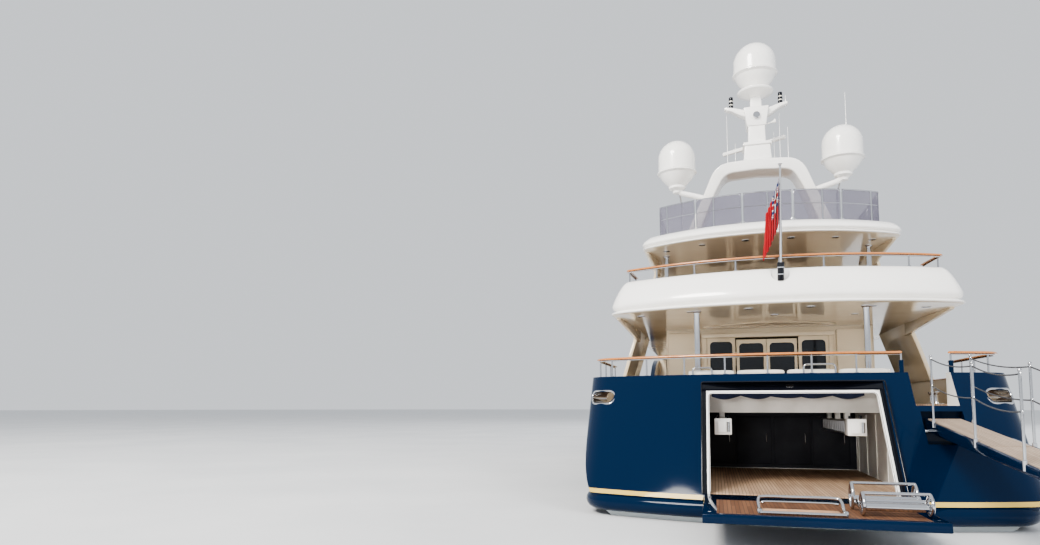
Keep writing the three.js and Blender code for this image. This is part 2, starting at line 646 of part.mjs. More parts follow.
function bridgeHouse() {
  const outer = bridgeShell(0, UPPER_DECK + GAP, BRIDGE_TOP);
  const inner = bridgeShell(BRIDGE.wall, UPPER_DECK - 0.2, BRIDGE_TOP + 0.2);
  const doorway = box(-1.9, 1.9, BRIDGE.aft - 0.5, BRIDGE.aft + 0.5, 5, SKY_DOOR_TOP + 0.04);
  const sides = windowBoxes(BRIDGE.half, [13.6, 16.2, 18.8, 21.4], 2.2, 5.95, 6.95);
  const front = [[-2.62, -1.6], [-1.5, -0.55], [-0.45, 0.45], [0.55, 1.5], [1.6, 2.62]]
    .map(([x0, x1]) => box(x0, x1, 25.4, 32, 6.2, 7));
  const sideDoor = box(2.6, 3.4, 24.5, 25.2, UPPER_DECK, BRIDGE_DOOR.head);
  const shell = cut(outer, inner, doorway, ...sides, ...front, sideDoor, mirrored(sideDoor));
  const sideLight = doorLeaf(0.98, 1.92, BRIDGE.aft + 0.005, UPPER_DECK + GAP, SKY_DOOR_TOP + 0.06);
  return join(shell, sideLight, mirrored(sideLight));
}

function bridgeGlass() {
  const outer = bridgeShell(BRIDGE.wall + GAP, 5.8, 7.4);
  const inner = bridgeShell(BRIDGE.wall + 0.03, 5.5, 7.5);
  const afterPart = box(-4, 4, 11, 13.3, 5, 8);
  const doorGaps = box(-4, 4, 24.4, 25.3, 5, BRIDGE_DOOR.head + 0.01);
  return cut(outer, inner, afterPart, doorGaps);
}

// Wheelhouse side door, turning on pins at its forward edge
function bridgeDoor() {
  const { aft, front, bottom, top, head, pinY, pinX } = BRIDGE_DOOR;
  const x = BRIDGE.half;
  const panel = box(x - 0.06, x, aft, front, bottom, top);
  const [z0, z1] = [6.1, 6.95];
  const panes = [[x - 0.015, x + 1], [x - 1, x - 0.045]]
    .map(([a, b]) => box(a, b, aft + 0.13, front - 0.13, z0, z1));
  const pin = rod([pinX, pinY, UPPER_DECK + GAP], [pinX, pinY, head - GAP], 0.02, 10);
  return join(cut(panel, ...panes), pin);
}

// Sun deck: tinted screens in a steel frame
const SCREEN = { inset: 0.56, top: 8.89, reach: 12 };

function screenPath() {
  const round = roundedEnd(SUN, SCREEN.inset, 3, 5).map(([x, y]) => [x, y + SUN.aft]);
  const side = SUN.half - SCREEN.inset;
  return [[side, SCREEN.reach], [side, 9.6], ...round, [-side, 9.6], [-side, SCREEN.reach]];
}

// Radar arch

const archSide = [
  [2.95, SUN_DECK + GAP], [1.87, 9.98], [1.5, 10.82], [1.24, ARCH_TOP - 0.04], [0, ARCH_TOP],
];
const archInside = [[0, 10.72], [1.02, 10.68], [1.18, 10.55], [1.5, 9.98], [2.42, SUN_DECK + GAP]];

function radarArch() {
  const half = [...archSide, ...archInside];
  const outline = [...archSide, ...archSide.slice(0, -1).reverse().map(([x, z]) => [-x, z]),
    ...archInside.slice(1).reverse().map(([x, z]) => [-x, z]), ...half.slice(archSide.length)];
  const aftY = (z) => 10.6 - 0.18 * (z - SUN_DECK);
  const foreY = (z) => 12.3 - 0.4 * (z - SUN_DECK);
  const frame = loft([aftY, foreY].map((place) => outline.map(([x, z]) => [x, place(z), z])));
  const { x, base } = SIDE_DOME;
  const arm = rod([1.75, MAST_Y, 9.95], [x, MAST_Y, base - 0.12], 0.11, 10);
  const flange = turned([
    [0, base - 0.24], [0.16, base - 0.24], [0.3, base - 0.08], [0.3, base - GAP], [0, base - GAP],
  ], x, MAST_Y, 16);
  return join(frame, arm, mirrored(arm), flange, mirrored(flange));
}

const taper = (z0, [x0, a0, b0], z1, [x1, a1, b1]) =>
  loft([level(rectangle(-x0, x0, a0, b0), z0), level(rectangle(-x1, x1, a1, b1), z1)]);

function mast() {
  const base = taper(ARCH_TOP + GAP, [0.47, 10.1, 10.95], 11.66, [0.42, 10.12, 10.92]);
  const trunk = taper(11.6, [0.3, 10.22, 10.88], 12.4, [0.28, 10.24, 10.86]);
  const crown = taper(12.35, [0.34, 10.2, 10.9], 13.06, [0.44, 10.2, 10.9]);
  const neck = taper(13, [0.2, 10.34, 10.74], 13.6, [0.18, 10.36, 10.72]);
  const seat = TOP_DOME.base - GAP;
  const plate = turned([[0, 13.45], [0.2, 13.48], [0.62, 13.64], [0.62, seat], [0, seat]], 0, MAST_Y, 20);
  const arms = [-1, 1].map((s) => loft([
    [[s * 0.35, 10.35, 12.78], [s * 0.35, 10.75, 12.78], [s * 0.35, 10.75, 13.05], [s * 0.35, 10.35, 13.05]],
    [[s * 0.78, 10.4, 13.06], [s * 0.78, 10.7, 13.06], [s * 0.78, 10.7, 13.22], [s * 0.78, 10.4, 13.22]],
    [[s * 1.08, 10.42, 13.14], [s * 1.08, 10.68, 13.14], [s * 1.08, 10.68, 13.22], [s * 1.08, 10.42, 13.22]],
  ]));
  const lamps = [-1, 1].map((s) => rod([s * 0.84, 10.55, 13.2], [s * 0.84, 10.55, 13.66], 0.08, 10));
  const bracket = box(-0.13, 0.13, 10.8, SCANNER.y + 0.2, 11.9, 12.06);
  const pedestal = rod([0, SCANNER.y, 12], [0, SCANNER.y, SCANNER.z - 0.16], 0.16, 12);
  return join(base, trunk, crown, neck, plate, bracket, pedestal, ...arms, ...lamps);
}

// Open-array scanner: a gearbox head and a long bar, turning about the upright through its middle
function scanner() {
  const head = rod([0, SCANNER.y, SCANNER.z - 0.16 + GAP], [0, SCANNER.y, SCANNER.z], 0.13, 12);
  const yaw = THREE.MathUtils.degToRad(-32);
  const arm = box(-SCANNER.half, SCANNER.half, -0.07, 0.07, -0.02, 0.13).rotateZ(yaw);
  return join(head, arm.translate(0, SCANNER.y, SCANNER.z));
}

function dome({ base, radius, height }, x, waist) {
  const r = radius;
  return turned([
    [0, base], [0.3, base], [r * 0.86, base + waist * 0.55],
    [r + 0.05, base + waist], [r + 0.02, base + waist + 0.06],
    [r, base + height * 0.55], [r * 0.93, base + height * 0.72], [r * 0.74, base + height * 0.87],
    [r * 0.42, base + height * 0.97], [0, base + height],
  ], x, MAST_Y);
}

// Ensign staff, leaning aft from its socket in the deck band, with the ensign hanging beside it
const staffY = (z) => STAFF.footY - STAFF.lean * (z - STAFF.socketFoot);

function ensignStaff() {
  const along = (z0, z1, radius) => rod([0, staffY(z0), z0], [0, staffY(z1), z1], radius, 12);
  return join(
    along(STAFF.socketFoot + 0.1, STAFF.head, STAFF.radius),
    along(STAFF.socketFoot, STAFF.socketFoot + 0.46, 0.08),
    along(STAFF.head - 0.05, STAFF.head + 0.03, 0.05),
  );
}

function ensign() {
  const rows = [[7.72, 0.07], [7.2, 0.16], [6.6, 0.34], [6.12, 0.36]];
  const side = STAFF.radius + GAP;
  return loft(rows.map(([z, width]) => {
    const y = staffY(z);
    return level(rectangle(-side - width, -side, y - 0.08, y + 0.08), z);
  }));
}

// Bow rail along the foredeck bulwark
function bowRail() {
  const side = [[38, 0.5], [40, 0.55], [42, 0.6], [43.6, 0.62], [44.8, 0.62]];
  const top = side.map(([y, h]) => [breadth(y, station(y).height) - 0.08, y, station(y).height + h]);
  const port = top.map(([x, y, z]) => [-x, y, z]).reverse();
  const path = [...top, [0, 45.6, station(45.6).height + 0.62], ...port];
  const posts = path.map(([x, y, z]) => rod([x, y, station(y).height + 3 * GAP], [x, y, z], 0.022, 8));
  return join(tube(path, 0.028, 40), ...posts);
}

function windlass() {
  const base = box(-0.7, 0.7, 39.6, 40.4, FOREDECK + GAP, FOREDECK + 0.25);
  const z = FOREDECK + 0.45;
  const drums = [-1, 1].map((s) => rod([s * 0.2, 40, z], [s * 0.85, 40, z], 0.2, 14));
  const gearbox = box(-0.26, 0.26, 39.73, 40.27, FOREDECK + 0.2, FOREDECK + 0.72);
  return join(base, rod([-0.9, 40, z], [0.9, 40, z], 0.09, 10), ...drums, gearbox);
}

// Stowed anchor, against the back wall of its pocket
function anchor() {
  const x = ANCHOR.wall + GAP;
  const { y, z } = ANCHOR;
  const shank = box(x, x + 0.12, y - 0.06, y + 0.06, z - 0.45, z + 0.42);
  const crown = box(x, x + 0.2, y - 0.34, y + 0.34, z - 0.56, z - 0.36);
  const flukes = [-1, 1].map((s) => loft([
    level(rectangle(x, x + 0.14, y + s * 0.27 - 0.08, y + s * 0.27 + 0.08), z - 0.4),
    level(rectangle(x, x + 0.05, y + s * 0.2 - 0.02, y + s * 0.2 + 0.02), z + 0.15),
  ]));
  return join(shank, crown, ...flukes);
}

// Stern gear

const SHAFT_SLOPE = (SHAFT.hullZ - SHAFT.propZ) / (SHAFT.hullY - SHAFT.propY);
const shaftAt = (y) => SHAFT.propZ + (y - SHAFT.propY) * SHAFT_SLOPE;

function sternGear(side, hullSolid) {
  const { x, propY, hullY, radius } = SHAFT;
  const fore = propY + PROPELLER.length / 2 + GAP;
  const shaft = rod([x, fore, shaftAt(fore)], [x, hullY, shaftAt(hullY)], radius, 12);
  const [start, end] = [fore + 0.05, fore + 0.55];
  const barrel = rod([x, start, shaftAt(start)], [x, end, shaftAt(end)], 0.13, 12);
  const strut = loft([[-1.95, 0.3], [-0.5, 0.4]].map(([z, chord]) => [
    [x, fore + 0.3 - chord / 2, z], [x + 0.04, fore + 0.3, z],
    [x, fore + 0.3 + chord / 2, z], [x - 0.04, fore + 0.3, z],
  ]));
  const gear = join(shaft, barrel, strut);
  return cut(side > 0 ? gear : mirrored(gear), hullSolid, hullSolid.clone().translate(0, 0, -2 * GAP));
}

// Blade sections from the root out: radius, half chord, half thickness, pitch angle
const BLADE = [
  [0.1, 0.16, 0.06, 62], [0.35, 0.24, 0.04, 42], [0.58, 0.24, 0.024, 30], [PROPELLER.radius, 0.11, 0.01, 24],
];

// Starboard screw; the port one is its mirror image
function propeller() {
  const blade = loft(BLADE.map(([r, chord, thick, pitch]) => {
    const [c, s] = [Math.cos(THREE.MathUtils.degToRad(pitch)), Math.sin(THREE.MathUtils.degToRad(pitch))];
    const section = [[-chord, 0], [0, thick], [chord, 0], [0, -thick]];
    return section.map(([u, v]) => [u * c - v * s, u * s + v * c, r]);
  }));
  const blades = Array.from({ length: PROPELLER.blades }, (_, i) => {
    const turn = (i / PROPELLER.blades) * 2 * Math.PI;
    return blade.clone().rotateY(turn);
  });
  const hub = rod([0, -PROPELLER.length / 2, 0], [0, PROPELLER.length / 2, 0], PROPELLER.hub, 14);
  const tilt = Math.atan2(SHAFT.hullZ - SHAFT.propZ, SHAFT.hullY - SHAFT.propY);
  return join(hub, ...blades).rotateX(tilt).translate(SHAFT.x, SHAFT.propY, SHAFT.propZ);
}

function rudder() {
  const { y, top, bottom, fore, aft, thick, stock, socketTop } = RUDDER;
  const right = (scale) => [
    [thick / 2, y + fore * 0.4 * scale], [thick / 2.6, y - aft * 0.3 * scale], [0.01, y - aft * scale],
  ];
  const foil = (scale) => [
    [SHAFT.x, y + fore * scale],
    ...right(scale).map(([x, at]) => [SHAFT.x + x, at]),
    ...right(scale).map(([x, at]) => [SHAFT.x - x, at]).reverse(),
  ];
  const blade = loft([level(foil(0.8), bottom), level(foil(1), top)]);
  return join(blade, rod([SHAFT.x, y, bottom + 0.3], [SHAFT.x, y, socketTop - GAP], stock, 16));
}

// The yacht

const yacht = new THREE.Group();

function add(name, geometry, material) {
  const solid = toGeometry(toSolid(geometry));
  solid.scale(MODEL_MM, MODEL_MM, MODEL_MM).computeVertexNormals();
  const mesh = new THREE.Mesh(solid, material);
  mesh.name = name;
  yacht.add(mesh);
}

function addPair(name, geometry, material) {
  add(`${name}_starboard`, geometry, material);
  add(`${name}_port`, mirrored(toGeometry(toSolid(geometry))), material);
}

const hullSolid = hull();
add('hull', hullSolid, NAVY);
add('main_deck', mainDeckTeak(), TEAK_DECK);
add('foredeck', foredeckWell(GAP, FOREDECK - TEAK + GAP, FOREDECK), TEAK_DECK);
add('garage_lining', garageLining(), WHITE);
add('garage_floor', garageFloor(), TEAK_DECK);
add('stern_door', transomDoor(), NAVY);
add('bathing_ladder', bathingLadder(), STEEL);
add('boarding_steps', boardingSteps(), STEEL);
add('passerelle', passerelle(), NAVY);
add('passerelle_rail_port', passerelleRail(PASSERELLE.left + 0.012, [0.85, -1.5, -3.45]), STEEL);
add('passerelle_rail_starboard', passerelleRail(PASSERELLE.right - 0.012, [0.85, -1.9, -4.1]), STEEL);
add('lounge_base', loungeBase(), CREAM);
add('sunpad', sunpad(), TAN);
add('aft_rail', rail(portOfGate, BULWARK_TOP, RAIL_TOP), TEAK_CAP);
add('quarter_rail', rail(starboardOfGate, BULWARK_TOP, RAIL_TOP), TEAK_CAP);
add('main_deckhouse', mainDeckhouse(), CREAM);
add('deckhouse_glass', houseGlass(), GLASS);
const saloonDoor = doorLeaf(0.005, DOOR_LEAF.width, HOUSE.aft + 0.065, MAIN_DECK + GAP, DOOR_LEAF.top - 0.01);
addPair('saloon_door', saloonDoor, CREAM);
add('upper_deck', upperDeck(), CREAM);
add('upper_deck_teak', deckTeak(UPPER, 0.57, UPPER_DECK), TEAK_DECK);
addPair('aft_pillar', rod([2.06, 3.9, MAIN_DECK + GAP], [2.06, 3.9, SOFFIT - GAP], 0.07, 16), STEEL);
const upperRailEnd = roundedEnd(UPPER, 0.5, 3, 4).map(([x, y]) => [x, y + UPPER.aft]);
const upperRail = [[3.83, 5.6], ...upperRailEnd, [-3.83, 5.6]];
add('upper_rail', rail(upperRail, UPPER_BAND_TOP, UPPER_RAIL_TOP), TEAK_CAP);
add('bridge_house', bridgeHouse(), CREAM);
add('bridge_glass', bridgeGlass(), GLASS);
addPair('bridge_door', bridgeDoor(), CREAM);
const skyDoor = doorLeaf(0.005, 0.95, BRIDGE.aft + 0.065, UPPER_DECK + GAP, SKY_DOOR_TOP - 0.01);
addPair('sky_door', skyDoor, CREAM);
add('sun_deck', sunDeck(), CREAM);
add('sun_deck_teak', deckTeak(SUN, 0.64, SUN_DECK), TEAK_DECK);
addPair('sun_pillar', rod([3.1, 8.5, UPPER_DECK + GAP], [3.1, 8.5, SUN_SOFFIT - GAP], 0.065, 16), STEEL);
add('sun_screen', bar(screenPath(), 0.03, SUN_BAND_TOP + GAP, SCREEN.top), TINTED);
add('radar_arch', radarArch(), WHITE);
add('mast', mast(), WHITE);
add('radar_scanner', scanner(), WHITE);
addPair('side_dome', dome(SIDE_DOME, SIDE_DOME.x, 0.5), WHITE);
add('top_dome', dome(TOP_DOME, 0, 0.6), WHITE);
add('ensign_staff', ensignStaff(), STEEL);
add('ensign', ensign(), RED);
add('bow_rail', bowRail(), STEEL);
add('windlass', windlass(), STEEL);
addPair('anchor', anchor(), STEEL);
add('stern_gear_starboard', sternGear(1, hullSolid), BRONZE);
add('stern_gear_port', sternGear(-1, hullSolid), BRONZE);
addPair('propeller', propeller(), BRONZE);
addPair('rudder', rudder(), NAVY);

export default yacht;
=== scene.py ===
# %% [markdown]
# A motor yacht 46 m long, modelled at half size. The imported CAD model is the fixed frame: it holds
# every size and every joint. This script gives it the surfaces of the real boat. Where a facet
# would show in gloss paint, a finer mesh is made from the same formula and stands for the node.

# %% The frame
import json
import math

import bmesh
import bpy
from mathutils import Matrix, Vector

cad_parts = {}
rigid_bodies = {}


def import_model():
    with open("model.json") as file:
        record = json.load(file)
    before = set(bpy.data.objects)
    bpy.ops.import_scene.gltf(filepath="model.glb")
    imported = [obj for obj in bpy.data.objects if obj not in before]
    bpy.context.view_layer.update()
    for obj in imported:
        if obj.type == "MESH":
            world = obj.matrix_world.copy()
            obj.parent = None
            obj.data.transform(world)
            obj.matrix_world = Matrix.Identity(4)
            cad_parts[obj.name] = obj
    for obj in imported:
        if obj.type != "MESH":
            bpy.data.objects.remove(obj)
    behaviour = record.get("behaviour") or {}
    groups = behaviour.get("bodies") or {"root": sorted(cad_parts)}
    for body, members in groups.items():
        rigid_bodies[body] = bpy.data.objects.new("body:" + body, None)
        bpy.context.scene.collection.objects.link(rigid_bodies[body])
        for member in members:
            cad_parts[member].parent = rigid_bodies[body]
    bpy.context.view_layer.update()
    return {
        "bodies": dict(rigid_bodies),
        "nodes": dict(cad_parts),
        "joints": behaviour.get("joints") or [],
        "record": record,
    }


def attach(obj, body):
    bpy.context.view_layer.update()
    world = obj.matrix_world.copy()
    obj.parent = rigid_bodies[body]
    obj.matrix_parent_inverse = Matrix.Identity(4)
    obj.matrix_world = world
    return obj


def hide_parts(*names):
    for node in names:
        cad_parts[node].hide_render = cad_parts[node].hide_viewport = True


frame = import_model()
nodes = frame["nodes"]

# %% [markdown]
# All sizes below are the real yacht's, in metres: x to starboard, y forward from the foot of the
# transom, z up from the water. MODEL turns them into metres of the model when a piece is finished.

# %% Driving sizes
MODEL = 0.5
GARAGE_FLOOR = 0.62
MAIN_DECK = 2.5
BULWARK_TOP = 3.2
SOFFIT = 4.97
UPPER_DECK = 5.27
UPPER_BAND_TOP = 5.92
SUN_SOFFIT = 7.47
SUN_DECK = 7.7
SUN_BAND_TOP = 7.91
FOREDECK = 4.15
TEAK = 0.04
RAKE = 0.7
STERN = {"half": 4.76, "sweep": 11.6, "corner": 0.8}
UPPER = {"aft": 2.9, "half": 4.4, "sweep": 8.9, "corner": 0.6, "waist": 26, "front": 35.6}
UPPER_NOSE = {"half": 3.75, "sweep": 6, "corner": 1.5}
SUN = {"aft": 6, "half": 3.8, "sweep": 6.3, "corner": 0.5, "waist": 20, "front": 28.8}
SUN_NOSE = {"half": 3.2, "sweep": 6, "corner": 1.2}
MAST_Y = 10.5
print("scale", MODEL, "deck heights:", MAIN_DECK, UPPER_DECK, SUN_DECK, "m")


def transom_y(z):
    return RAKE * (z - GARAGE_FLOOR)


# %% [markdown]
# The camera stands where the photograph was taken from: low behind the stern, a little to port of
# the centre line, looking forward and slightly up. The shift moves the horizon down in the frame.

# %% Camera
EYE = (-1.65, -15.19, 2.45)
TURN_TO_PORT = math.radians(15.5)
TILT_UP = math.radians(4.8)
FRAME_PX = 1040
FOCAL_PX = 700
HORIZON_PX = 74.9
camera_data = bpy.data.cameras.new("camera")
camera_data.sensor_width = 36
camera_data.lens = 36 * FOCAL_PX / FRAME_PX
camera_data.shift_y = HORIZON_PX / FRAME_PX
camera_data.clip_end = 500
camera = bpy.data.objects.new("camera", camera_data)
camera.location = Vector(EYE) * MODEL
camera.rotation_euler = (math.radians(90) + TILT_UP, 0, TURN_TO_PORT)
bpy.context.scene.collection.objects.link(camera)
bpy.context.scene.camera = camera
print("lens:", round(camera_data.lens, 1), "mm")

# %% [markdown]
# A finish starts as a Principled BSDF with its constant values on the shader's own sockets.


# %% Finish basics
def new_finish(name, colour, roughness, **sockets):
    material = bpy.data.materials.new(name)
    material.use_nodes = True
    shader = material.node_tree.nodes["Principled BSDF"]
    shader.inputs["Base Color"].default_value = (*colour, 1)
    shader.inputs["Roughness"].default_value = roughness
    for socket, value in sockets.items():
        shader.inputs[socket.replace("_", " ")].default_value = value
    print("finish:", name)
    return material


def add_node(material, kind, settings=None, inputs=None):
    made = material.node_tree.nodes.new(kind)
    for key, value in (settings or {}).items():
        setattr(made, key, value)
    for key, value in (inputs or {}).items():
        made.inputs[key].default_value = value
    return made


def link(material, source, target):
    material.node_tree.links.new(source, target)


def shader_of(material):
    return material.node_tree.nodes["Principled BSDF"]


# %% [markdown]
# Only what varies over the surface, such as grain, planks or fairing, comes through nodes. They
# all read Object coordinates, so a pattern keeps its place on the boat and on a moving piece.


# %% Surface variation
def object_coordinates(material, scale=(1, 1, 1), turn=(0, 0, 0), shift=(0, 0, 0)):
    place = add_node(material, "ShaderNodeTexCoord")
    mapping = add_node(
        material, "ShaderNodeMapping", inputs={"Scale": scale, "Rotation": turn, "Location": shift}
    )
    link(material, place.outputs["Object"], mapping.inputs["Vector"])
    return mapping.outputs["Vector"]


def noise(material, vector, scale, detail=3.0, roughness=0.5):
    inputs = {"Scale": scale, "Detail": detail, "Roughness": roughness}
    made = add_node(material, "ShaderNodeTexNoise", inputs=inputs)
    link(material, vector, made.inputs["Vector"])
    return made.outputs["Fac"]


def ramp(material, factor, stops, interpolation="LINEAR"):
    made = add_node(material, "ShaderNodeValToRGB")
    made.color_ramp.interpolation = interpolation
    elements = made.color_ramp.elements
    while len(elements) < len(stops):
        elements.new(0.5)
    for element, (position, colour) in zip(elements, stops):
        element.position = position
        element.color = (*colour, 1)
    link(material, factor, made.inputs["Fac"])
    return made.outputs["Color"]


def spread(material, factor, low, high, socket="Roughness"):
    made = add_node(material, "ShaderNodeMapRange", inputs={"To Min": low, "To Max": high})
    link(material, factor, made.inputs["Value"])
    link(material, made.outputs["Result"], shader_of(material).inputs[socket])


def bump(material, height, strength, distance, under=None):
    made = add_node(material, "ShaderNodeBump", inputs={"Strength": strength, "Distance": distance})
    link(material, height, made.inputs["Height"])
    if under:
        link(material, under, made.inputs["Normal"])
    link(material, made.outputs["Normal"], shader_of(material).inputs["Normal"])
    return made.outputs["Normal"]


def tint(material, factor, dark, light):
    colour = ramp(material, factor, [(0.3, dark), (0.7, light)])
    link(material, colour, shader_of(material).inputs["Base Color"])
    return colour


# %% [markdown]
# Yacht topcoat is sprayed in many layers and polished. Seen closely it has a faint orange peel,
# and over a long plate the fairing leaves slow waves that make reflections wander.


# %% Topcoats
def topcoat(name, dark, light, roughness, coat=0.6, mirror=0.5):
    paint = new_finish(
        name, light, roughness, Coat_Weight=coat, Coat_Roughness=0.04, Specular_IOR_Level=mirror
    )
    place = object_coordinates(paint)
    tint(paint, noise(paint, place, 0.9, 5), dark, light)
    peel = bump(paint, noise(paint, place, 90, 2), 0.05, 0.001)
    bump(paint, noise(paint, place, 1.4, 1), 0.12, 0.02, under=peel)
    spread(paint, noise(paint, place, 3, 6), roughness * 0.7, roughness * 1.5)
    return paint


# The cream is darker and warmer than the paint in sun: partly the real cream, partly painted shade for the
# walls under the overhangs.
CREAM_WITH_PAINTED_SHADE = topcoat("cream_topcoat_painted_shade", (0.72, 0.615, 0.45), (0.80, 0.70, 0.54), 0.2)
# Warm cream ceiling panel: the warm tone is the panel's own, its lightness is painted light bounced up under
# the decks.
CEILING_WITH_PAINTED_BOUNCE = topcoat("ceiling_panel_painted_bounce", (0.90, 0.775, 0.57), (0.96, 0.85, 0.65), 0.16)
WHITE = topcoat("white_topcoat", (0.90, 0.885, 0.85), (0.95, 0.94, 0.915), 0.2)
NAVY = topcoat("navy_topcoat", (0.0006, 0.0095, 0.031), (0.001, 0.0135, 0.043), 0.07, 0.06, 0.14)
BLACK = topcoat("black_gloss", (0.004, 0.005, 0.008), (0.008, 0.009, 0.015), 0.12, 0.2, 0.3)

# %% [markdown]
# The hull carries its bands in the paint: antifouling below the water, a pale boot strip, navy,
# and one thin gold line above the rub roll. A colour ramp with hard steps on the height does it.
# Each band starts at the height that stands beside it.


# %% Hull paint
def hull_paint():
    antifouling, boot = (0.012, 0.014, 0.02), (0.42, 0.46, 0.48)
    navy, gold = (0.0008, 0.0115, 0.037), (0.60, 0.43, 0.13)
    paint = topcoat("hull_topcoat", navy, navy, 0.06, 0.06, 0.14)
    top = 4.0
    bands = [(-top, antifouling), (-0.10, boot), (0.09, navy), (0.49, gold), (0.57, navy)]
    place = add_node(paint, "ShaderNodeTexCoord")
    split = add_node(paint, "ShaderNodeSeparateXYZ")
    link(paint, place.outputs["Object"], split.inputs["Vector"])
    limits = {"From Min": -top * MODEL, "From Max": top * MODEL}
    height = add_node(paint, "ShaderNodeMapRange", inputs=limits)
    link(paint, split.outputs["Z"], height.inputs["Value"])
    stops = [((z + top) / (2 * top), colour) for z, colour in bands]
    colour = ramp(paint, height.outputs["Result"], stops, "CONSTANT")
    link(paint, colour, shader_of(paint).inputs["Base Color"])
    return paint


HULL_PAINT = hull_paint()

# %% [markdown]
# Teak decks are narrow planks laid fore and aft, with black caulking between them. A brick
# texture turned by 90 degrees lays them with staggered butts, and weathering greys the wood.


# %% Teak
def planks(name, pale, brown, plank=0.055, along=math.pi / 2):
    wood = new_finish(name, pale, 0.7)
    place = object_coordinates(wood, turn=(0, 0, along))
    settings = {"offset": 0.37, "offset_frequency": 2}
    inputs = {
        "Color1": (*pale, 1), "Color2": (*brown, 1), "Mortar": (0.02, 0.018, 0.016, 1), "Scale": 1,
        "Mortar Size": 0.0022, "Mortar Smooth": 0.1, "Bias": 0.1,
        "Brick Width": 2.4 * MODEL, "Row Height": plank * MODEL,
    }
    rows = add_node(wood, "ShaderNodeTexBrick", settings, inputs)
    link(wood, place, rows.inputs["Vector"])
    grain = noise(wood, object_coordinates(wood, scale=(60, 4, 4)), 6, 6)
    weather = noise(wood, object_coordinates(wood), 2.2, 5)
    mixed = add_node(wood, "ShaderNodeMixRGB", {"blend_type": "MULTIPLY"}, {"Fac": 0.55})
    link(wood, rows.outputs["Color"], mixed.inputs["Color1"])
    link(wood, ramp(wood, grain, [(0.2, (0.55, 0.5, 0.45)), (0.8, (1, 1, 1))]), mixed.inputs["Color2"])
    greyed = add_node(wood, "ShaderNodeMixRGB", {"blend_type": "MULTIPLY"}, {"Fac": 0.5})
    link(wood, mixed.outputs["Color"], greyed.inputs["Color1"])
    link(wood, ramp(wood, weather, [(0.3, (0.62, 0.58, 0.56)), (0.75, (1, 1, 1))]), greyed.inputs["Color2"])
    link(wood, greyed.outputs["Color"], shader_of(wood).inputs["Base Color"])
    bump(wood, rows.outputs["Fac"], -0.5, 0.002)
    spread(wood, grain, 0.5, 0.85)
    return wood


TEAK_DECK = planks("teak_deck", (0.36, 0.25, 0.17), (0.24, 0.155, 0.10))
WET_TEAK = planks("teak_platform", (0.27, 0.13, 0.065), (0.17, 0.075, 0.035), 0.07)


def varnish():
    wood = new_finish("varnished_teak", (0.6, 0.23, 0.06), 0.25, Coat_Weight=1.0, Coat_Roughness=0.06)
    grain = noise(wood, object_coordinates(wood, scale=(9, 9, 40)), 7, 8, 0.6)
    tint(wood, grain, (0.36, 0.125, 0.03), (0.62, 0.25, 0.075))
    bump(wood, grain, 0.1, 0.001)
    return wood


VARNISH = varnish()

# %% [markdown]
# Stainless steel, bronze, rubber and glass each need one small variation: polishing marks on the
# metal, dust on the rubber, and a breath of salt on the panes.


# %% Metals, rubber and glass
def metal(name, colour, low, high):
    made = new_finish(name, colour, low, Metallic=1.0)
    spread(made, noise(made, object_coordinates(made, scale=(8, 8, 30)), 6, 6), low, high)
    return made


STEEL = metal("polished_steel", (0.60, 0.61, 0.63), 0.08, 0.24)
BRONZE = metal("cast_bronze", (0.56, 0.33, 0.13), 0.2, 0.42)


def plain(name, dark, light, low, high, scale=8, **sockets):
    made = new_finish(name, light, low, **sockets)
    cloud = noise(made, object_coordinates(made), scale, 5)
    tint(made, cloud, dark, light)
    spread(made, cloud, low, high)
    return made


RUBBER = plain("black_rubber", (0.012, 0.012, 0.013), (0.03, 0.03, 0.032), 0.5, 0.8)
# Garage gelcoat as a grey white: the white walls darkened as painted shade for the garage's shaded inside.
LINING_PAINTED_SHADE = plain("garage_gelcoat_painted_shade", (0.62, 0.61, 0.58), (0.80, 0.79, 0.77), 0.3, 0.5, 3)
GLASS = plain("dark_glass", (0.006, 0.008, 0.012), (0.012, 0.016, 0.024), 0.02, 0.07, 2, IOR=1.52)
TINTED = plain("tinted_pane", (0.12, 0.11, 0.16), (0.16, 0.15, 0.205), 0.02, 0.06, 2, Alpha=0.48)
LAMP = plain("lamp_glass", (0.75, 0.72, 0.62), (0.9, 0.87, 0.78), 0.08, 0.2, 40)
TAN = plain("tan_panel", (0.42, 0.25, 0.15), (0.56, 0.36, 0.23), 0.45, 0.65, 12)
RED_LAMP = plain("port_lamp", (0.35, 0.01, 0.01), (0.5, 0.02, 0.02), 0.08, 0.15)
GREEN_LAMP = plain("starboard_lamp", (0.01, 0.25, 0.06), (0.02, 0.38, 0.1), 0.08, 0.15)

# %% [markdown]
# Every piece is a mesh drawn in yacht metres. These helpers make one from points and faces, turn
# its modifiers into plain mesh, and join several parts into one, each with its own material.


# %% Mesh helpers
def link_mesh(name, mesh):
    made = bpy.data.objects.new(name, mesh)
    bpy.context.scene.collection.objects.link(made)
    return made


def tidy(mesh, weld=1e-5):
    work = bmesh.new()
    work.from_mesh(mesh)
    bmesh.ops.remove_doubles(work, verts=work.verts, dist=weld)
    bmesh.ops.recalc_face_normals(work, faces=work.faces)
    work.to_mesh(mesh)
    work.free()


def raw(name, points, faces, material=None):
    mesh = bpy.data.meshes.new(name)
    mesh.from_pydata([tuple(p) for p in points], [], faces)
    if material:
        mesh.materials.append(material)
    tidy(mesh)
    return link_mesh(name, mesh)


def bake(thing):
    depsgraph = bpy.context.evaluated_depsgraph_get()
    mesh = bpy.data.meshes.new_from_object(thing.evaluated_get(depsgraph))
    thing.modifiers.clear()
    thing.data = mesh
    return thing


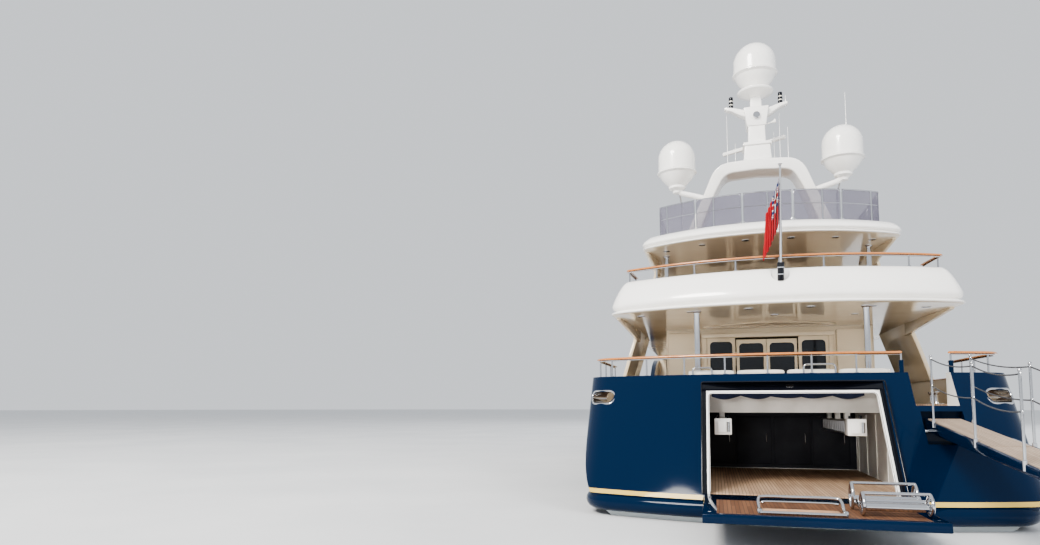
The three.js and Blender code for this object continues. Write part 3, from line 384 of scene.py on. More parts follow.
def merge(name, things):
    work = bmesh.new()
    materials = []
    for thing in things:
        for material in thing.data.materials:
            if material not in materials:
                materials.append(material)
    for thing in things:
        start = len(work.faces)
        work.from_mesh(thing.data)
        work.faces.ensure_lookup_table()
        own = [materials.index(m) for m in thing.data.materials]
        for face in work.faces[start:]:
            face.material_index = own[face.material_index] if own else 0
        bpy.data.objects.remove(thing)
    mesh = bpy.data.meshes.new(name)
    for material in materials:
        mesh.materials.append(material)
    work.to_mesh(mesh)
    work.free()
    return link_mesh(name, mesh)


# %% [markdown]
# `piece` finishes a mesh. It shrinks it to the model in its own vertices, so that its object stays
# at the origin, shades it, and tells the frame which body it rides on and which solid it replaces.


# %% Finishing a piece
def piece(thing, material=None, body="yacht", angle=35, replaces=(), name=None):
    if name:
        thing.name = name
    if material:
        thing.data.materials.clear()
        thing.data.materials.append(material)
    thing.data.transform(Matrix.Scale(MODEL, 4))
    thing.data.shade_smooth()
    thing.data.set_sharp_from_angle(angle=math.radians(angle))
    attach(thing, body)
    if replaces:
        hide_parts(*replaces)
    print(f"{thing.name}: {len(thing.data.polygons)} faces on {body}")
    return thing


# %% [markdown]
# Real edges are never sharp: a small bevel catches the light. A boolean cuts openings, and hands
# the cutter's material to the faces that it leaves.


# %% Bevels and cuts
def bevel(thing, width, segments=3, angle=30):
    made = thing.modifiers.new("bevel", "BEVEL")
    made.width = width
    made.segments = segments
    made.limit_method = "ANGLE"
    made.angle_limit = math.radians(angle)
    made.use_clamp_overlap = True
    return bake(thing)


def carve(thing, tools, operation="DIFFERENCE"):
    for tool in tools:
        made = thing.modifiers.new("carve", "BOOLEAN")
        made.operation = operation
        made.object = tool
        made.solver = "EXACT"
        made.material_mode = "TRANSFER"
        bake(thing)
        print(f"{tool.name} cut: {thing.name} has {len(thing.data.polygons)} faces")
        bpy.data.objects.remove(tool)
    return thing


# %% [markdown]
# Most of a yacht is a loft: a skin over a row of equal rings. A block, a cut through a side view
# and a turned shape are lofts too, or nearly, and share its way of numbering points.


# %% Basic shapes
def loft(name, rings, material=None, closed=True, capped=True):
    count = len(rings[0])
    points = [p for ring in rings for p in ring]
    faces = []
    for r in range(len(rings) - 1):
        for i in range(count if closed else count - 1):
            a = r * count + i
            b = r * count + (i + 1) % count
            faces.append((a, b, b + count, a + count))
    if capped:
        faces.append(tuple(reversed(range(count))))
        faces.append(tuple(range(len(points) - count, len(points))))
    return raw(name, points, faces, material)


def angles(steps):
    return [2 * math.pi * i / steps for i in range(steps)]


def level(plan, z):
    return [(x, y, z) for x, y in plan]


def block(name, low, high, material=None):
    (x0, y0, z0), (x1, y1, z1) = low, high
    base = [(x0, y0), (x1, y0), (x1, y1), (x0, y1)]
    return loft(name, [level(base, z0), level(base, z1)], material)


def soft_block(name, low, high, material, width, segments=3):
    return bevel(block(name, low, high, material), width, segments)


def side_cut(name, profile, x0, x1, material=None):
    return loft(name, [[(x, y, z) for y, z in profile] for x in (x0, x1)], material)


def lathe(name, profile, centre, material=None, steps=64):
    x, y = centre
    rings = []
    for turn in angles(steps):
        rings.append([(x + r * math.cos(turn), y + r * math.sin(turn), z) for r, z in profile])
    points = [p for ring in rings for p in ring]
    count = len(profile)
    faces = []
    for i in range(steps):
        for k in range(count - 1):
            a = i * count + k
            b = (i + 1) % steps * count + k
            faces.append((a, b, b + 1, a + 1))
    return raw(name, points, faces, material)


def put(thing, place, angle, axis):
    """Turns a mesh about an axis through the origin, then moves it to its place."""
    thing.data.transform(Matrix.Translation(place) @ Matrix.Rotation(angle, 4, axis))


# %% [markdown]
# Rails, ropes and trim are one section carried along a line. The line is smoothed through its
# points first, and the section is turned as little as possible from one point to the next.


# %% Tubes and sweeps
def smooth_path(points, steps=6, closed=False):
    ring = [Vector(p) for p in points]
    count = len(ring)
    ends = range(count if closed else count - 1)
    path = []
    for i in ends:
        if closed:
            a, b, c, d = (ring[(i + k) % count] for k in (-1, 0, 1, 2))
        else:
            a, b, c, d = (ring[min(max(i + k, 0), count - 1)] for k in (-1, 0, 1, 2))
        for s in range(steps):
            t = s / steps
            path.append(
                0.5 * ((2 * b) + (c - a) * t + (2 * a - 5 * b + 4 * c - d) * t * t
                       + (3 * b - a - 3 * c + d) * t * t * t)
            )
    if not closed:
        path.append(ring[-1])
    return path


def sweep(name, path, section, material=None, closed=False, upright=False):
    """Carries a closed section of (across, up) points along a path."""
    path = [Vector(p) for p in path]
    count = len(path)
    rings = []
    up = Vector((0, 0, 1))
    for i, point in enumerate(path):
        before = path[i - 1] if i or closed else path[0]
        after = path[(i + 1) % count] if i + 1 < count or closed else path[-1]
        ahead = (after - before).normalized()
        if not upright and abs(ahead.dot(up)) > 0.95:
            up = Vector((0, 1, 0)) if abs(ahead.y) < 0.7 else Vector((1, 0, 0))
        across = ahead.cross(up).normalized()
        rise = up if upright else across.cross(ahead).normalized()
        if not upright:
            up = rise
        rings.append([point + across * a + rise * b for a, b in section])
    if closed:
        rings.append(rings[0])
    return loft(name, rings, material, capped=not closed)


def circle(radius, steps=12):
    return [(radius * math.cos(a), radius * math.sin(a)) for a in angles(steps)]


def tube(name, path, radius, material=None, closed=False, steps=12):
    return sweep(name, path, circle(radius, steps), material, closed)


# %% [markdown]
# The transom and both overhanging decks end in the same kind of curve: a small arc out of the
# side, then one wide arc across. One formula draws them all, at any distance inside the edge.


# %% Plans
def rounded_end(shape, inset=0.0, corner_steps=10, sweep_steps=18):
    half, wide, corner = shape["half"], shape["sweep"] - inset, shape["corner"]
    radius = max(corner - inset, 0.08)
    centre_x = half - inset - radius
    centre_y = shape["sweep"] - math.sqrt((wide - radius) ** 2 - centre_x**2)
    turn = math.asin(centre_x / (wide - radius))
    side = []
    for i in range(corner_steps + 1):
        angle = -(i / corner_steps) * (math.pi / 2 - turn)
        side.append((centre_x + radius * math.cos(angle), centre_y + radius * math.sin(angle)))
    for i in range(1, sweep_steps):
        angle = turn * (1 - i / sweep_steps)
        side.append((wide * math.sin(angle), shape["sweep"] - wide * math.cos(angle)))
    return side + [(0, inset)] + [(-x, y) for x, y in reversed(side)]


def deck_plan(deck, nose, inset=0.0, side_steps=6):
    after = [(x, deck["aft"] + y) for x, y in rounded_end(deck, inset)]
    fore = [(x, deck["front"] - y) for x, y in rounded_end(nose, inset)][::-1]
    waist = deck["half"] - inset
    parallel = deck["waist"] - after[-1][1]
    port = [(-waist, after[-1][1] + parallel * i / side_steps) for i in range(1, side_steps + 1)]
    return after + port + fore + [(-x, y) for x, y in reversed(port)]


print("stern outline:", len(rounded_end(STERN)), "points, corner at y", round(rounded_end(STERN)[0][1], 2))

# %% [markdown]
# The hull is one formula. Each station says how wide, how deep and how full the section is there,
# and a smooth curve runs through the stations, so gloss paint reflects without a kink.

# %% Hull stations
# y, half breadth at the top, keel height, fullness, roundness of the bilge, top height
STATIONS = [
    (-1.0, 4.66, -0.8, 6.0, 1.6, 3.2), (3.0, 4.73, -0.95, 6.0, 1.6, 3.2), (8.0, 4.77, -1.35, 6.0, 1.5, 3.2),
    (14.0, 4.78, -2.05, 5.5, 1.4, 3.2), (18.5, 4.78, -2.4, 5.0, 1.35, 3.2),
    (20.0, 4.78, -2.45, 4.8, 1.3, 3.5), (22.2, 4.78, -2.5, 4.5, 1.3, 4.62),
    (23.8, 4.77, -2.5, 4.2, 1.25, 4.969), (29.0, 4.68, -2.5, 3.4, 1.15, 4.969),
    (33.0, 4.43, -2.46, 2.85, 1.07, 4.969), (36.0, 4.07, -2.36, 2.45, 1.03, 4.969),
    (38.0, 3.72, -2.2, 2.2, 1.0, 5.02), (41.5, 2.75, -1.6, 1.8, 1.0, 5.12), (43.5, 1.85, -0.7, 1.5, 1.0, 5.2),
    (44.7, 1.15, 0.9, 1.3, 1.0, 5.26), (45.6, 0.5, 3.2, 1.1, 1.0, 5.3), (46.0, 0.12, 4.6, 1.0, 1.0, 5.32)
]
KEEL_HALF = 0.05


def slope(xs, ys, i):
    if i == 0:
        return (ys[1] - ys[0]) / (xs[1] - xs[0])
    if i == len(xs) - 1:
        return (ys[-1] - ys[-2]) / (xs[-1] - xs[-2])
    before = (ys[i] - ys[i - 1]) / (xs[i] - xs[i - 1])
    after = (ys[i + 1] - ys[i]) / (xs[i + 1] - xs[i])
    return 0 if before * after <= 0 else 2 * before * after / (before + after)


def through(xs, ys, x):
    i = max([k for k in range(len(xs) - 1) if xs[k] <= x], default=0)
    span = xs[i + 1] - xs[i]
    t = min(max((x - xs[i]) / span, 0), 1)
    start, end = slope(xs, ys, i) * span, slope(xs, ys, i + 1) * span
    return (ys[i] * (2 * t**3 - 3 * t**2 + 1) + start * (t**3 - 2 * t**2 + t)
            + ys[i + 1] * (3 * t**2 - 2 * t**3) + end * (t**3 - t**2))


COLUMNS = list(zip(*STATIONS))


def station(y):
    return [through(COLUMNS[0], column, y) for column in COLUMNS[1:]]


def breadth(y, z):
    half, keel, full, roundness, height = station(y)
    rise = min(max((z - keel) / (height - keel), 0), 1)
    return max(KEEL_HALF, half * (1 - (1 - rise) ** full) ** (1 / roundness))


print(
    "breadth amidships:", round(2 * breadth(18.5, 3.2), 2), "m, at the bow:", round(2 * breadth(45.6, 3.2), 2)
)

# %% [markdown]
# The hull's skin is lofted over these stations. The transom's raked, rounded envelope then trims
# its after end, and the rub roll along the waterline is joined on.


# %% Hull form
def hull_body(steps=26):
    ys = [-1 + 0.5 * i for i in range(91)] + [44.7, 45, 45.3, 45.6, 45.8, 46]
    rings = []
    for y in ys:
        keel, height = station(y)[1], station(y)[4]
        heights = [keel + (i / steps) ** 1.7 * (height - keel) for i in range(steps + 1)]
        side = [(breadth(y, z), y, z) for z in heights]
        rings.append(side + [(-x, y, z) for x, _, z in reversed(side)])
    return loft("hull_smooth", rings, HULL_PAINT)


def stern_envelope():
    levels = [(-3, 0.6), (0.12, 0.18), (0.5, -0.06), (GARAGE_FLOOR, 0), (6, transom_y(6))]
    rings = []
    for z, shift in levels:
        end = [(x, y + shift, z) for x, y in rounded_end(STERN, 0, 16, 20)]
        rings.append(end + [(-5, 6, z), (-5, 50, z), (5, 50, z), (5, 6, z)])
    return loft("envelope", rings, HULL_PAINT)


ROLL_Z, ROLL_RADIUS, ROLL_FORWARD = 0.31, 0.2, 9


def stern_roll():
    path = [(x, y, ROLL_Z) for x, y in rounded_end({**STERN, "half": 4.5}, 0.08, 12, 20)]
    return tube(
        "roll", [(4.4, ROLL_FORWARD, ROLL_Z)] + path + [(-4.4, ROLL_FORWARD, ROLL_Z)], ROLL_RADIUS,
        HULL_PAINT, steps=16
    )


# %% [markdown]
# Everything that opens into the hull is cut from it with the same sizes as in the CAD model. A
# cutter lends its own material to the faces that it leaves, so the bulwarks turn out cream inside.

# %% Hull openings
DOOR = {"half": 1.9, "thick": 0.16}
RECESS_HALF = 1.93
RECESS_DEPTH = 0.17 * math.hypot(1, RAKE)
DOORWAY = {"half": 1.84, "top": 2.81}
GARAGE = {"half": 2.3, "front": 7, "ceiling": 2.33, "raised": 2.85, "raised_front": 3.4, "wall": 0.35}
SILL = GARAGE_FLOOR - 0.08
GATE = (2.5, 3.4)
POCKET = (2.56, 3.42)
ANCHOR = {"y": 42.3, "z": 3.4, "wall": 1.72, "half": 0.42}
FAIRLEAD = {"x": 4.38, "y": 2.31, "z": 2.67, "half": 0.35, "radius": 0.14, "turn": math.radians(32)}
WELL_INSET = 0.2
WELL_FRONT = 23.95
print("doorway:", 2 * DOORWAY["half"], "m wide, in a recess", round(RECESS_DEPTH, 3), "m deep")

# %% [markdown]
# Each cutter reaches out past what it cuts. The wells follow the hull's own breadth, so the
# bulwarks keep an even thickness.


# %% Cutters
def door_band(name, z0, z1, near, far, half, material):
    low, high = transom_y(z0), transom_y(z1)
    return side_cut(
        name, [(low + near, z0), (low + far, z0), (high + far, z1), (high + near, z1)], -half, half, material
    )


def garage_space(name, shrink, material):
    low, high, ceiling = SILL + shrink, GARAGE["raised"] - shrink, GARAGE["ceiling"] - shrink
    front, wall = GARAGE["front"] - shrink, GARAGE["wall"] + shrink
    raised = GARAGE["raised_front"] - shrink
    profile = [
        (transom_y(low) + wall, low), (front, low), (front, ceiling), (raised, ceiling), (raised, high),
        (transom_y(high) + wall, high)
    ]
    return side_cut(name, profile, shrink - GARAGE["half"], GARAGE["half"] - shrink, material)


def stadium(half, radius, steps=12):
    right = [(half - radius + radius * math.cos(a), radius * math.sin(a))
             for a in [math.pi * (i / steps - 0.5) for i in range(steps + 1)]]
    return right + [(-x, -z) for x, z in right]


def fairlead(side, low, high, grow, material, name="fairlead_cut"):
    turn = Matrix.Rotation(side * FAIRLEAD["turn"], 4, "Z")
    centre = Vector((side * FAIRLEAD["x"], FAIRLEAD["y"], FAIRLEAD["z"]))
    outline = stadium(FAIRLEAD["half"] + grow, FAIRLEAD["radius"] + grow)
    rings = [[centre + turn @ Vector((x, y, z)) for x, z in outline] for y in (low, high)]
    return loft(name, rings, material)


def well_plan(z, inset, ys, after):
    port = [(-(breadth(y, z) - inset), y) for y in ys]
    return after + port + [(-x, y) for x, y in reversed(port)]


def main_well(name, inset, z0, z1, material):
    end = rounded_end(STERN, WELL_INSET + inset)
    after = [(x, y + transom_y(BULWARK_TOP) + 0.1) for x, y in end]
    ys = [5 + i for i in range(19)] + [WELL_FRONT - inset]
    plan = well_plan(MAIN_DECK, WELL_INSET + inset, ys, after)
    return loft(name, [level(plan, z0), level(plan, z1)], material)


def foredeck_well(name, inset, z0, z1, material):
    ys = [34.8 + inset] + [35.5 + 0.75 * i for i in range(12)] + [44.2, 44.6 - inset]
    plan = well_plan(FOREDECK, 0.22 + inset, ys, [])
    return loft(name, [level(plan, z0), level(plan, z1)], material)


def anchor_pocket(side):
    y, z = ANCHOR["y"], ANCHOR["z"]
    x0, x1 = sorted((side * ANCHOR["wall"], side * 4))
    reach = ANCHOR["half"] + 0.08
    return block("pocket", (x0, y - reach, z - 0.62), (x1, y + reach, z + 0.5), STEEL)


# %% [markdown]
# Now the hull is put together in that order: trim, roll, then every opening.

# %% Cutting the hull
hull = hull_body()
carve(hull, [stern_envelope()], "INTERSECT")
carve(hull, [stern_roll()], "UNION")
carve(hull, [
    door_band("recess", 0.46, 3.0, -0.6, RECESS_DEPTH, RECESS_HALF, BLACK),
    block("root_notch", (-RECESS_HALF, -1, 0.42), (RECESS_HALF, RECESS_DEPTH, GARAGE_FLOOR), NAVY),
    door_band("doorway", SILL, DOORWAY["top"], 0.1, GARAGE["wall"] + 0.1, DOORWAY["half"], NAVY),
    garage_space("garage", 0, LINING_PAINTED_SHADE),
    block("gate", (GATE[0], -1, MAIN_DECK - TEAK), (GATE[1], 2.9, 4), WHITE),
    block("gangway_pocket", (POCKET[0], -1, 1.66), (POCKET[1], 1.9, 2.34), NAVY),
    fairlead(1, -1, 1, 0, STEEL),
    fairlead(-1, -1, 1, 0, STEEL),
    anchor_pocket(1),
    anchor_pocket(-1),
    main_well("main_well", 0, MAIN_DECK - TEAK, 7, CREAM_WITH_PAINTED_SHADE),
    foredeck_well("fore_well", 0, FOREDECK - TEAK, 7, CREAM_WITH_PAINTED_SHADE),
])
piece(hull, angle=28, replaces=["hull"])

# %% [markdown]
# The decks are laid in the wells, a hair above the steel. The aft deck leaves a hole for the
# garage's raised roof, which the sunpad covers.

# %% Deck planking
GAP = 0.0008
main_deck = main_well("main_deck_planks", GAP, MAIN_DECK - TEAK + GAP, MAIN_DECK, TEAK_DECK)
carve(main_deck, [block("hatch", (-2.36, 1, 2), (2.36, 3.5, 3), TEAK_DECK)])
piece(main_deck, replaces=["main_deck"])
foredeck = foredeck_well("foredeck_planks", GAP, FOREDECK - TEAK + GAP, FOREDECK, TEAK_DECK)
piece(foredeck, replaces=["foredeck"])

# %% [markdown]
# Both upper decks overhang in a deep band. Its section starts at the ceiling below, rounds a lip,
# leaves a shadow line, leans in to a soft top and drops behind to the deck. One loft makes it all.


# %% Deck bands
def band_deck(name, deck, nose, section, material):
    shell = loft(name, [level(deck_plan(deck, nose, inset), z) for z, inset in section], material)
    shell.data.materials.append(CEILING_WITH_PAINTED_BOUNCE)
    # Faces that look straight down take the ceiling colour, lighter than the cream as painted light bounced
    # up from below.
    for face in shell.data.polygons:
        if face.normal.z < -0.95:
            face.material_index = 1
    return shell


def name_side(name, side):
    return f"{name}_{'starboard' if side > 0 else 'port'}"


def side_plate(side, foot, head, z0, z1, material, steps=10):
    """A raked plate under a deck's edge. foot and head hold x, thickness, aft end, fore end."""
    rings = []
    for i in range(steps + 1):
        t = i / steps
        x, thick, aft, fore = (a + (b - a) * t for a, b in zip(foot, head))
        aft -= 0.35 * t * (1 - t)
        plan = [(x, aft), (x + thick, aft), (x + thick, fore), (x, fore)]
        rings.append(level([(side * a, b) for a, b in plan], z0 + (z1 - z0) * t))
    return loft(name_side("plate", side), rings, material)


def gusset(side, aft, fore, thick, top):
    """A wedge that joins a plate to the deck's corner. aft and fore hold y, x and its lower edge."""
    rings = []
    for y, x, low in (aft, fore):
        rings.append([(side * a, y, z) for a, z in ((x, low), (x + thick, low), (x + thick, top), (x, top))])
    return loft("gusset", rings, CREAM_WITH_PAINTED_SHADE)


# %% [markdown]
# Each pair in a section is a height and how far inside the deck's edge it lies. Raked plates and
# wedges join each band to the deck below, and a round niche takes the ensign staff.

# %% Deck sections
UPPER_SECTION = [
    (4.97, 0.22), (4.972, 0.08), (4.98, 0.03), (5.0, 0.005), (5.02, 0), (5.04, 0.02), (5.045, 0.08),
    (5.055, 0.13), (5.09, 0.13), (5.12, 0.075), (5.16, 0.04), (5.21, 0.032), (5.27, 0.042), (5.36, 0.075),
    (5.47, 0.125), (5.6, 0.19), (5.72, 0.26), (5.81, 0.325), (5.87, 0.385), (5.912, 0.44), (5.92, 0.49),
    (5.918, 0.54), (5.9, 0.57), (UPPER_DECK - TEAK, 0.665)
]
SUN_SECTION = [
    (7.47, 0.3), (7.472, 0.1), (7.48, 0.05), (7.495, 0.02), (7.51, 0.015), (7.525, 0.03), (7.53, 0.07),
    (7.538, 0.11), (7.56, 0.11), (7.58, 0.05), (7.61, 0.008), (7.64, 0), (7.69, 0.02), (7.75, 0.07),
    (7.8, 0.13), (7.85, 0.2), (7.885, 0.27), (7.905, 0.34), (7.91, 0.42), (7.908, 0.6), (7.89, 0.64),
    (SUN_DECK - TEAK, 0.735)
]
upper_deck = band_deck("upper_deck_shell", UPPER, UPPER_NOSE, UPPER_SECTION, WHITE)
foot_arc = [
    (0.22 * math.cos(a), 5.74 + 0.2045 * math.sin(a)) for a in [math.pi * (1 + k / 12) for k in range(13)]
]
niche_outline = [(0.22, 6.2), (-0.22, 6.2)] + foot_arc
niche = loft("niche", [[(x, y, z) for x, z in niche_outline] for y in (2, 3.3)], WHITE)
carve(upper_deck, [niche])
sun_deck = band_deck("sun_deck_shell", SUN, SUN_NOSE, SUN_SECTION, WHITE)
plates = {1: [], 2: []}
for side in (1, -1):
    lower = side_plate(
        side, (4.5, 0.12, 8.0, 11.6), (4.0, 0.12, 8.3, 12.0), BULWARK_TOP + GAP, SOFFIT + 0.02, CREAM_WITH_PAINTED_SHADE
    )
    wing = gusset(side, (4.9, 4.2, 4.93), (8.5, 4.0, 4.6), 0.12, SOFFIT + 0.03)
    plates[1] += [bevel(lower, 0.025), bevel(wing, 0.02)]
    upper = side_plate(
        side, (3.78, 0.1, 9.6, 12.4), (3.36, 0.1, 9.3, 11.6), UPPER_BAND_TOP + GAP, SUN_SOFFIT + 0.02, CREAM_WITH_PAINTED_SHADE
    )
    wing = gusset(side, (7.7, 3.6, 7.42), (9.5, 3.36, 7.0), 0.1, SUN_SOFFIT + 0.03)
    plates[2] += [bevel(upper, 0.02), bevel(wing, 0.02)]
piece(merge("upper_deck_band", [upper_deck] + plates[1]), replaces=["upper_deck"])
piece(merge("sun_deck_band", [sun_deck] + plates[2]), replaces=["sun_deck"])
for name, deck, nose, inset, z in (
    ("upper_deck_teak", UPPER, UPPER_NOSE, 0.67, UPPER_DECK),
    ("sun_deck_teak", SUN, SUN_NOSE, 0.74, SUN_DECK),
):
    plan = deck_plan(deck, nose, inset)
    planks_piece = loft(f"{name}_planks", [level(plan, z - TEAK + GAP), level(plan, z)], TEAK_DECK)
    piece(planks_piece, replaces=[name])

# %% [markdown]
# Stanchions, ceiling lights, screen posts, louvres and chain all repeat along a line. The node
# trees for them share one start: walk a path at a set spacing, stand a shape on each point, make
# the copies real and paint them. A wire is written as "node.socket > node.socket".


# %% Geometry Nodes: along a path
def add_nodes(tree, **kinds):
    for name, kind in kinds.items():
        tree.nodes.new(kind).name = name


def join(tree, *wires):
    for wire in wires:
        (source, outlet), (target, inlet) = (part.split(".") for part in wire.split(" > "))
        tree.links.new(tree.nodes[source].outputs[outlet], tree.nodes[target].inputs[inlet])


def multiply(tree, name, factor, operation="MULTIPLY"):
    tree.nodes[name].operation = operation
    tree.nodes[name].inputs[1].default_value = factor


def path_tree(name, **sizes):
    tree = bpy.data.node_groups.new(name, "GeometryNodeTree")
    face = tree.interface
    face.new_socket("Path", in_out="INPUT", socket_type="NodeSocketGeometry")
    for size, value in sizes.items():
        face.new_socket(size, in_out="INPUT", socket_type="NodeSocketFloat").default_value = value
    face.new_socket("Finish", in_out="INPUT", socket_type="NodeSocketMaterial")
    face.new_socket("Result", in_out="OUTPUT", socket_type="NodeSocketGeometry")
    add_nodes(tree, start="NodeGroupInput", end="NodeGroupOutput", curve="GeometryNodeMeshToCurve",
              points="GeometryNodeResampleCurve", stand="GeometryNodeInstanceOnPoints",
              real="GeometryNodeRealizeInstances", paint="GeometryNodeSetMaterial")
    tree.nodes["points"].mode = "LENGTH"
    join(tree, "start.Path > curve.Mesh", "curve.Curve > points.Curve", "points.Curve > stand.Points",
         "stand.Instances > real.Geometry", "real.Geometry > paint.Geometry",
         "start.Finish > paint.Material", "paint.Geometry > end.Result")
    print("node tree:", name, sizes)
    return tree


# %% [markdown]
# The first tree stands a round bar on each point. `grow` runs a tree on a line of points, sets its
# inputs by the sockets' identifiers, and turns the result into a plain mesh.


# %% Geometry Nodes: round bars
def bars_tree():
    tree = path_tree("bars_along_path", Spacing=1.0, Radius=0.02, Height=0.4)
    add_nodes(tree, bar="GeometryNodeMeshCylinder", lift="GeometryNodeTransform",
              half="ShaderNodeMath", offset="ShaderNodeCombineXYZ")
    multiply(tree, "half", 0.5)
    tree.nodes["bar"].inputs["Vertices"].default_value = 12
    join(tree, "start.Spacing > points.Length", "start.Radius > bar.Radius", "start.Height > bar.Depth",
         "start.Height > half.Value", "half.Value > offset.Z", "bar.Mesh > lift.Geometry",
         "offset.Vector > lift.Translation", "lift.Geometry > stand.Instance")
    return tree


BARS_TREE = bars_tree()


def grow(name, tree, path, closed=False, **values):
    """Runs a node tree on a polyline and returns its result as a plain mesh object."""
    mesh = bpy.data.meshes.new(name)
    edges = [(i, i + 1) for i in range(len(path) - 1)]
    if closed:
        edges.append((len(path) - 1, 0))
    mesh.from_pydata([tuple(p) for p in path], edges, [])
    made = link_mesh(name, mesh)
    modifier = made.modifiers.new("tree", "NODES")
    modifier.node_group = tree
    sockets = {item.name: item.identifier for item in tree.interface.items_tree if item.in_out == "INPUT"}
    for key, value in values.items():
        modifier[sockets[key]] = value
    bake(made)
    material = values.get("Finish")
    if material and material.name not in made.data.materials:
        made.data.materials.append(material)
    return made


def bars(name, path, spacing, radius, height, finish, closed=False):
    sizes = {"Spacing": spacing, "Radius": radius, "Height": height}
    return grow(name, BARS_TREE, path, closed, Finish=finish, **sizes)


# %% [markdown]
# The aft rails are varnished caps on steel stanchions. The cap's section is flat below and
# crowned above, swept upright along the same curve as the bulwark. A navy sleeve closes the posts
# on either side of the gate.

# %% Teak rails
CAP = [(-0.062, -0.022), (0.062, -0.022), (0.066, -0.004), (0.054, 0.018), (0.03, 0.027), (0, 0.03),
       (-0.03, 0.027), (-0.054, 0.018), (-0.066, -0.004)]
RAIL_TOP = 3.69
UPPER_RAIL_TOP = 6.27


def bulwark_path(inset, reach):
    end = [(x, y + transom_y(BULWARK_TOP)) for x, y in rounded_end(STERN, inset)]
    return [(STERN["half"] - inset, reach)] + end + [(inset - STERN["half"], reach)]


def cap_rail(name, path, base, top, spacing, node):
    cap = sweep(f"{name}_cap", level(path, top - 0.03), CAP, VARNISH, upright=True)
    under = sweep(f"{name}_under", level(path, top - 0.07), circle(0.02, 8), STEEL, upright=True)
    posts = bars(f"{name}_posts", level(path, base), spacing, 0.021, top - 0.06 - base, STEEL)
    feet = bars(f"{name}_feet", level(path, base), spacing, 0.045, 0.02, STEEL)
    steel = merge(f"{name}_steel", [under, posts, feet])
    piece(cap, angle=50, replaces=[node])
    piece(steel, replaces=[node])


rail_path = bulwark_path(0.17, 6.4)
port_part = [(GATE[0] - 0.1, 2.2)] + [p for p in rail_path if p[0] < GATE[0] - 0.3]
starboard_part = [p for p in rail_path if p[0] > GATE[1] + 0.1] + [(GATE[1] + 0.1, 2.58)]
cap_rail("aft_rail", port_part, BULWARK_TOP, RAIL_TOP, 0.92, "aft_rail")
cap_rail("quarter_rail", starboard_part, BULWARK_TOP, RAIL_TOP, 0.8, "quarter_rail")
upper_end = [(x, y + UPPER["aft"]) for x, y in rounded_end(UPPER, 0.5)]
cap_rail(
    "upper_rail", [(3.83, 5.6)] + upper_end + [(-3.83, 5.6)], UPPER_BAND_TOP, UPPER_RAIL_TOP, 1.05,
    "upper_rail"
)
sleeves = [tube("sleeve", [(x, y, BULWARK_TOP - 0.01), (x, y, BULWARK_TOP + 0.28)], 0.048, NAVY, steps=20)
           for x, y in (port_part[0], starboard_part[-1])]
piece(merge("gate_sleeves", sleeves))

# %% [markdown]
# The ceilings over both after decks are smooth warm cream panels, made light as painted light
# bounced up under the decks, with a row of recessed lights that follows the deck's edge. Each light is a thin
# steel ring round a pale lens.

# %% Ceiling lights
RING_DEPTH, LENS_DROP = 0.012, 0.004
LENS = plain("ceiling_lens", (0.09, 0.085, 0.075), (0.14, 0.13, 0.115), 0.1, 0.25, 40)


def downlights(name, deck, inset, soffit, spacing):
    row = [(x, y + deck["aft"]) for x, y in rounded_end(deck, inset)]
    face = soffit - RING_DEPTH
    ring = bars(f"{name}_ring", level(row, face), spacing, 0.115, RING_DEPTH, STEEL)
    lens = bars(f"{name}_lens", level(row, face - LENS_DROP), spacing, 0.09, 0.014, LENS)
    return merge(name, [ring, lens])


def crescent(half, aft, fore, steps=24):
    front = [(half * (1 - 2 * i / steps), fore) for i in range(steps + 1)]
    back = []
    for i in range(1, steps):
        x = half * (2 * i / steps - 1)
        back.append((x, fore - (fore - aft) * (1 - (x / half) ** 2)))
    return front + back


lights = merge("ceiling_lights", [
    downlights("upper_outer", UPPER, 0.8, SOFFIT, 1.35),
    downlights("upper_inner", UPPER, 2.3, SOFFIT, 1.5),
    downlights("sun_outer", SUN, 0.75, SUN_SOFFIT, 1.3),
])
piece(lights)
cove = loft(
    "ceiling_cove",
    [level(crescent(1.95, 6.75, 7.7), SOFFIT - 0.045), level(crescent(1.95, 6.75, 7.7), SOFFIT)], CREAM_WITH_PAINTED_SHADE
)
piece(bevel(cove, 0.015))

# %% [markdown]
# The doors to the saloon and the sky lounge are framed glass leaves with rounded corners. Each
# leaf is its own piece, because it slides on its own joint; the outer pair of panes stands fixed.


# %% After doors
def rounded_rect(x0, x1, z0, z1, radius, steps=5):
    corners = [(x1 - radius, z0 + radius, -90), (x1 - radius, z1 - radius, 0),
               (x0 + radius, z1 - radius, 90), (x0 + radius, z0 + radius, 180)]
    ring = []
    for x, z, start in corners:
        for i in range(steps + 1):
            angle = math.radians(start + 90 * i / steps)
            ring.append((x + radius * math.cos(angle), z + radius * math.sin(angle)))
    return ring


def facing_aft(name, ring, y0, y1, material):
    return loft(name, [[(x, y, z) for x, z in ring] for y in (y0, y1)], material)


def glazed_leaf(name, x0, x1, y, z0, top):
    frame = block(f"{name}_frame", (x0, y, z0), (x1, y + 0.05, top), CREAM_WITH_PAINTED_SHADE)
    bevel(frame, 0.008, 2)
    opening = rounded_rect(x0 + 0.09, x1 - 0.09, z0 + 0.14, top - 0.13, 0.12)
    carve(frame, [facing_aft("opening", opening, y - 0.1, y + 0.2, RUBBER)])
    pane = facing_aft(
        f"{name}_pane", rounded_rect(x0 + 0.08, x1 - 0.08, z0 + 0.13, top - 0.12, 0.12), y + 0.018, y + 0.034,
        GLASS
    )
    return merge(name, [frame, pane])


# %% [markdown]
# The sliding leaves ride on their own joints. The fixed panes beside them, with jambs, a lintel
# and lockers, make one surround.

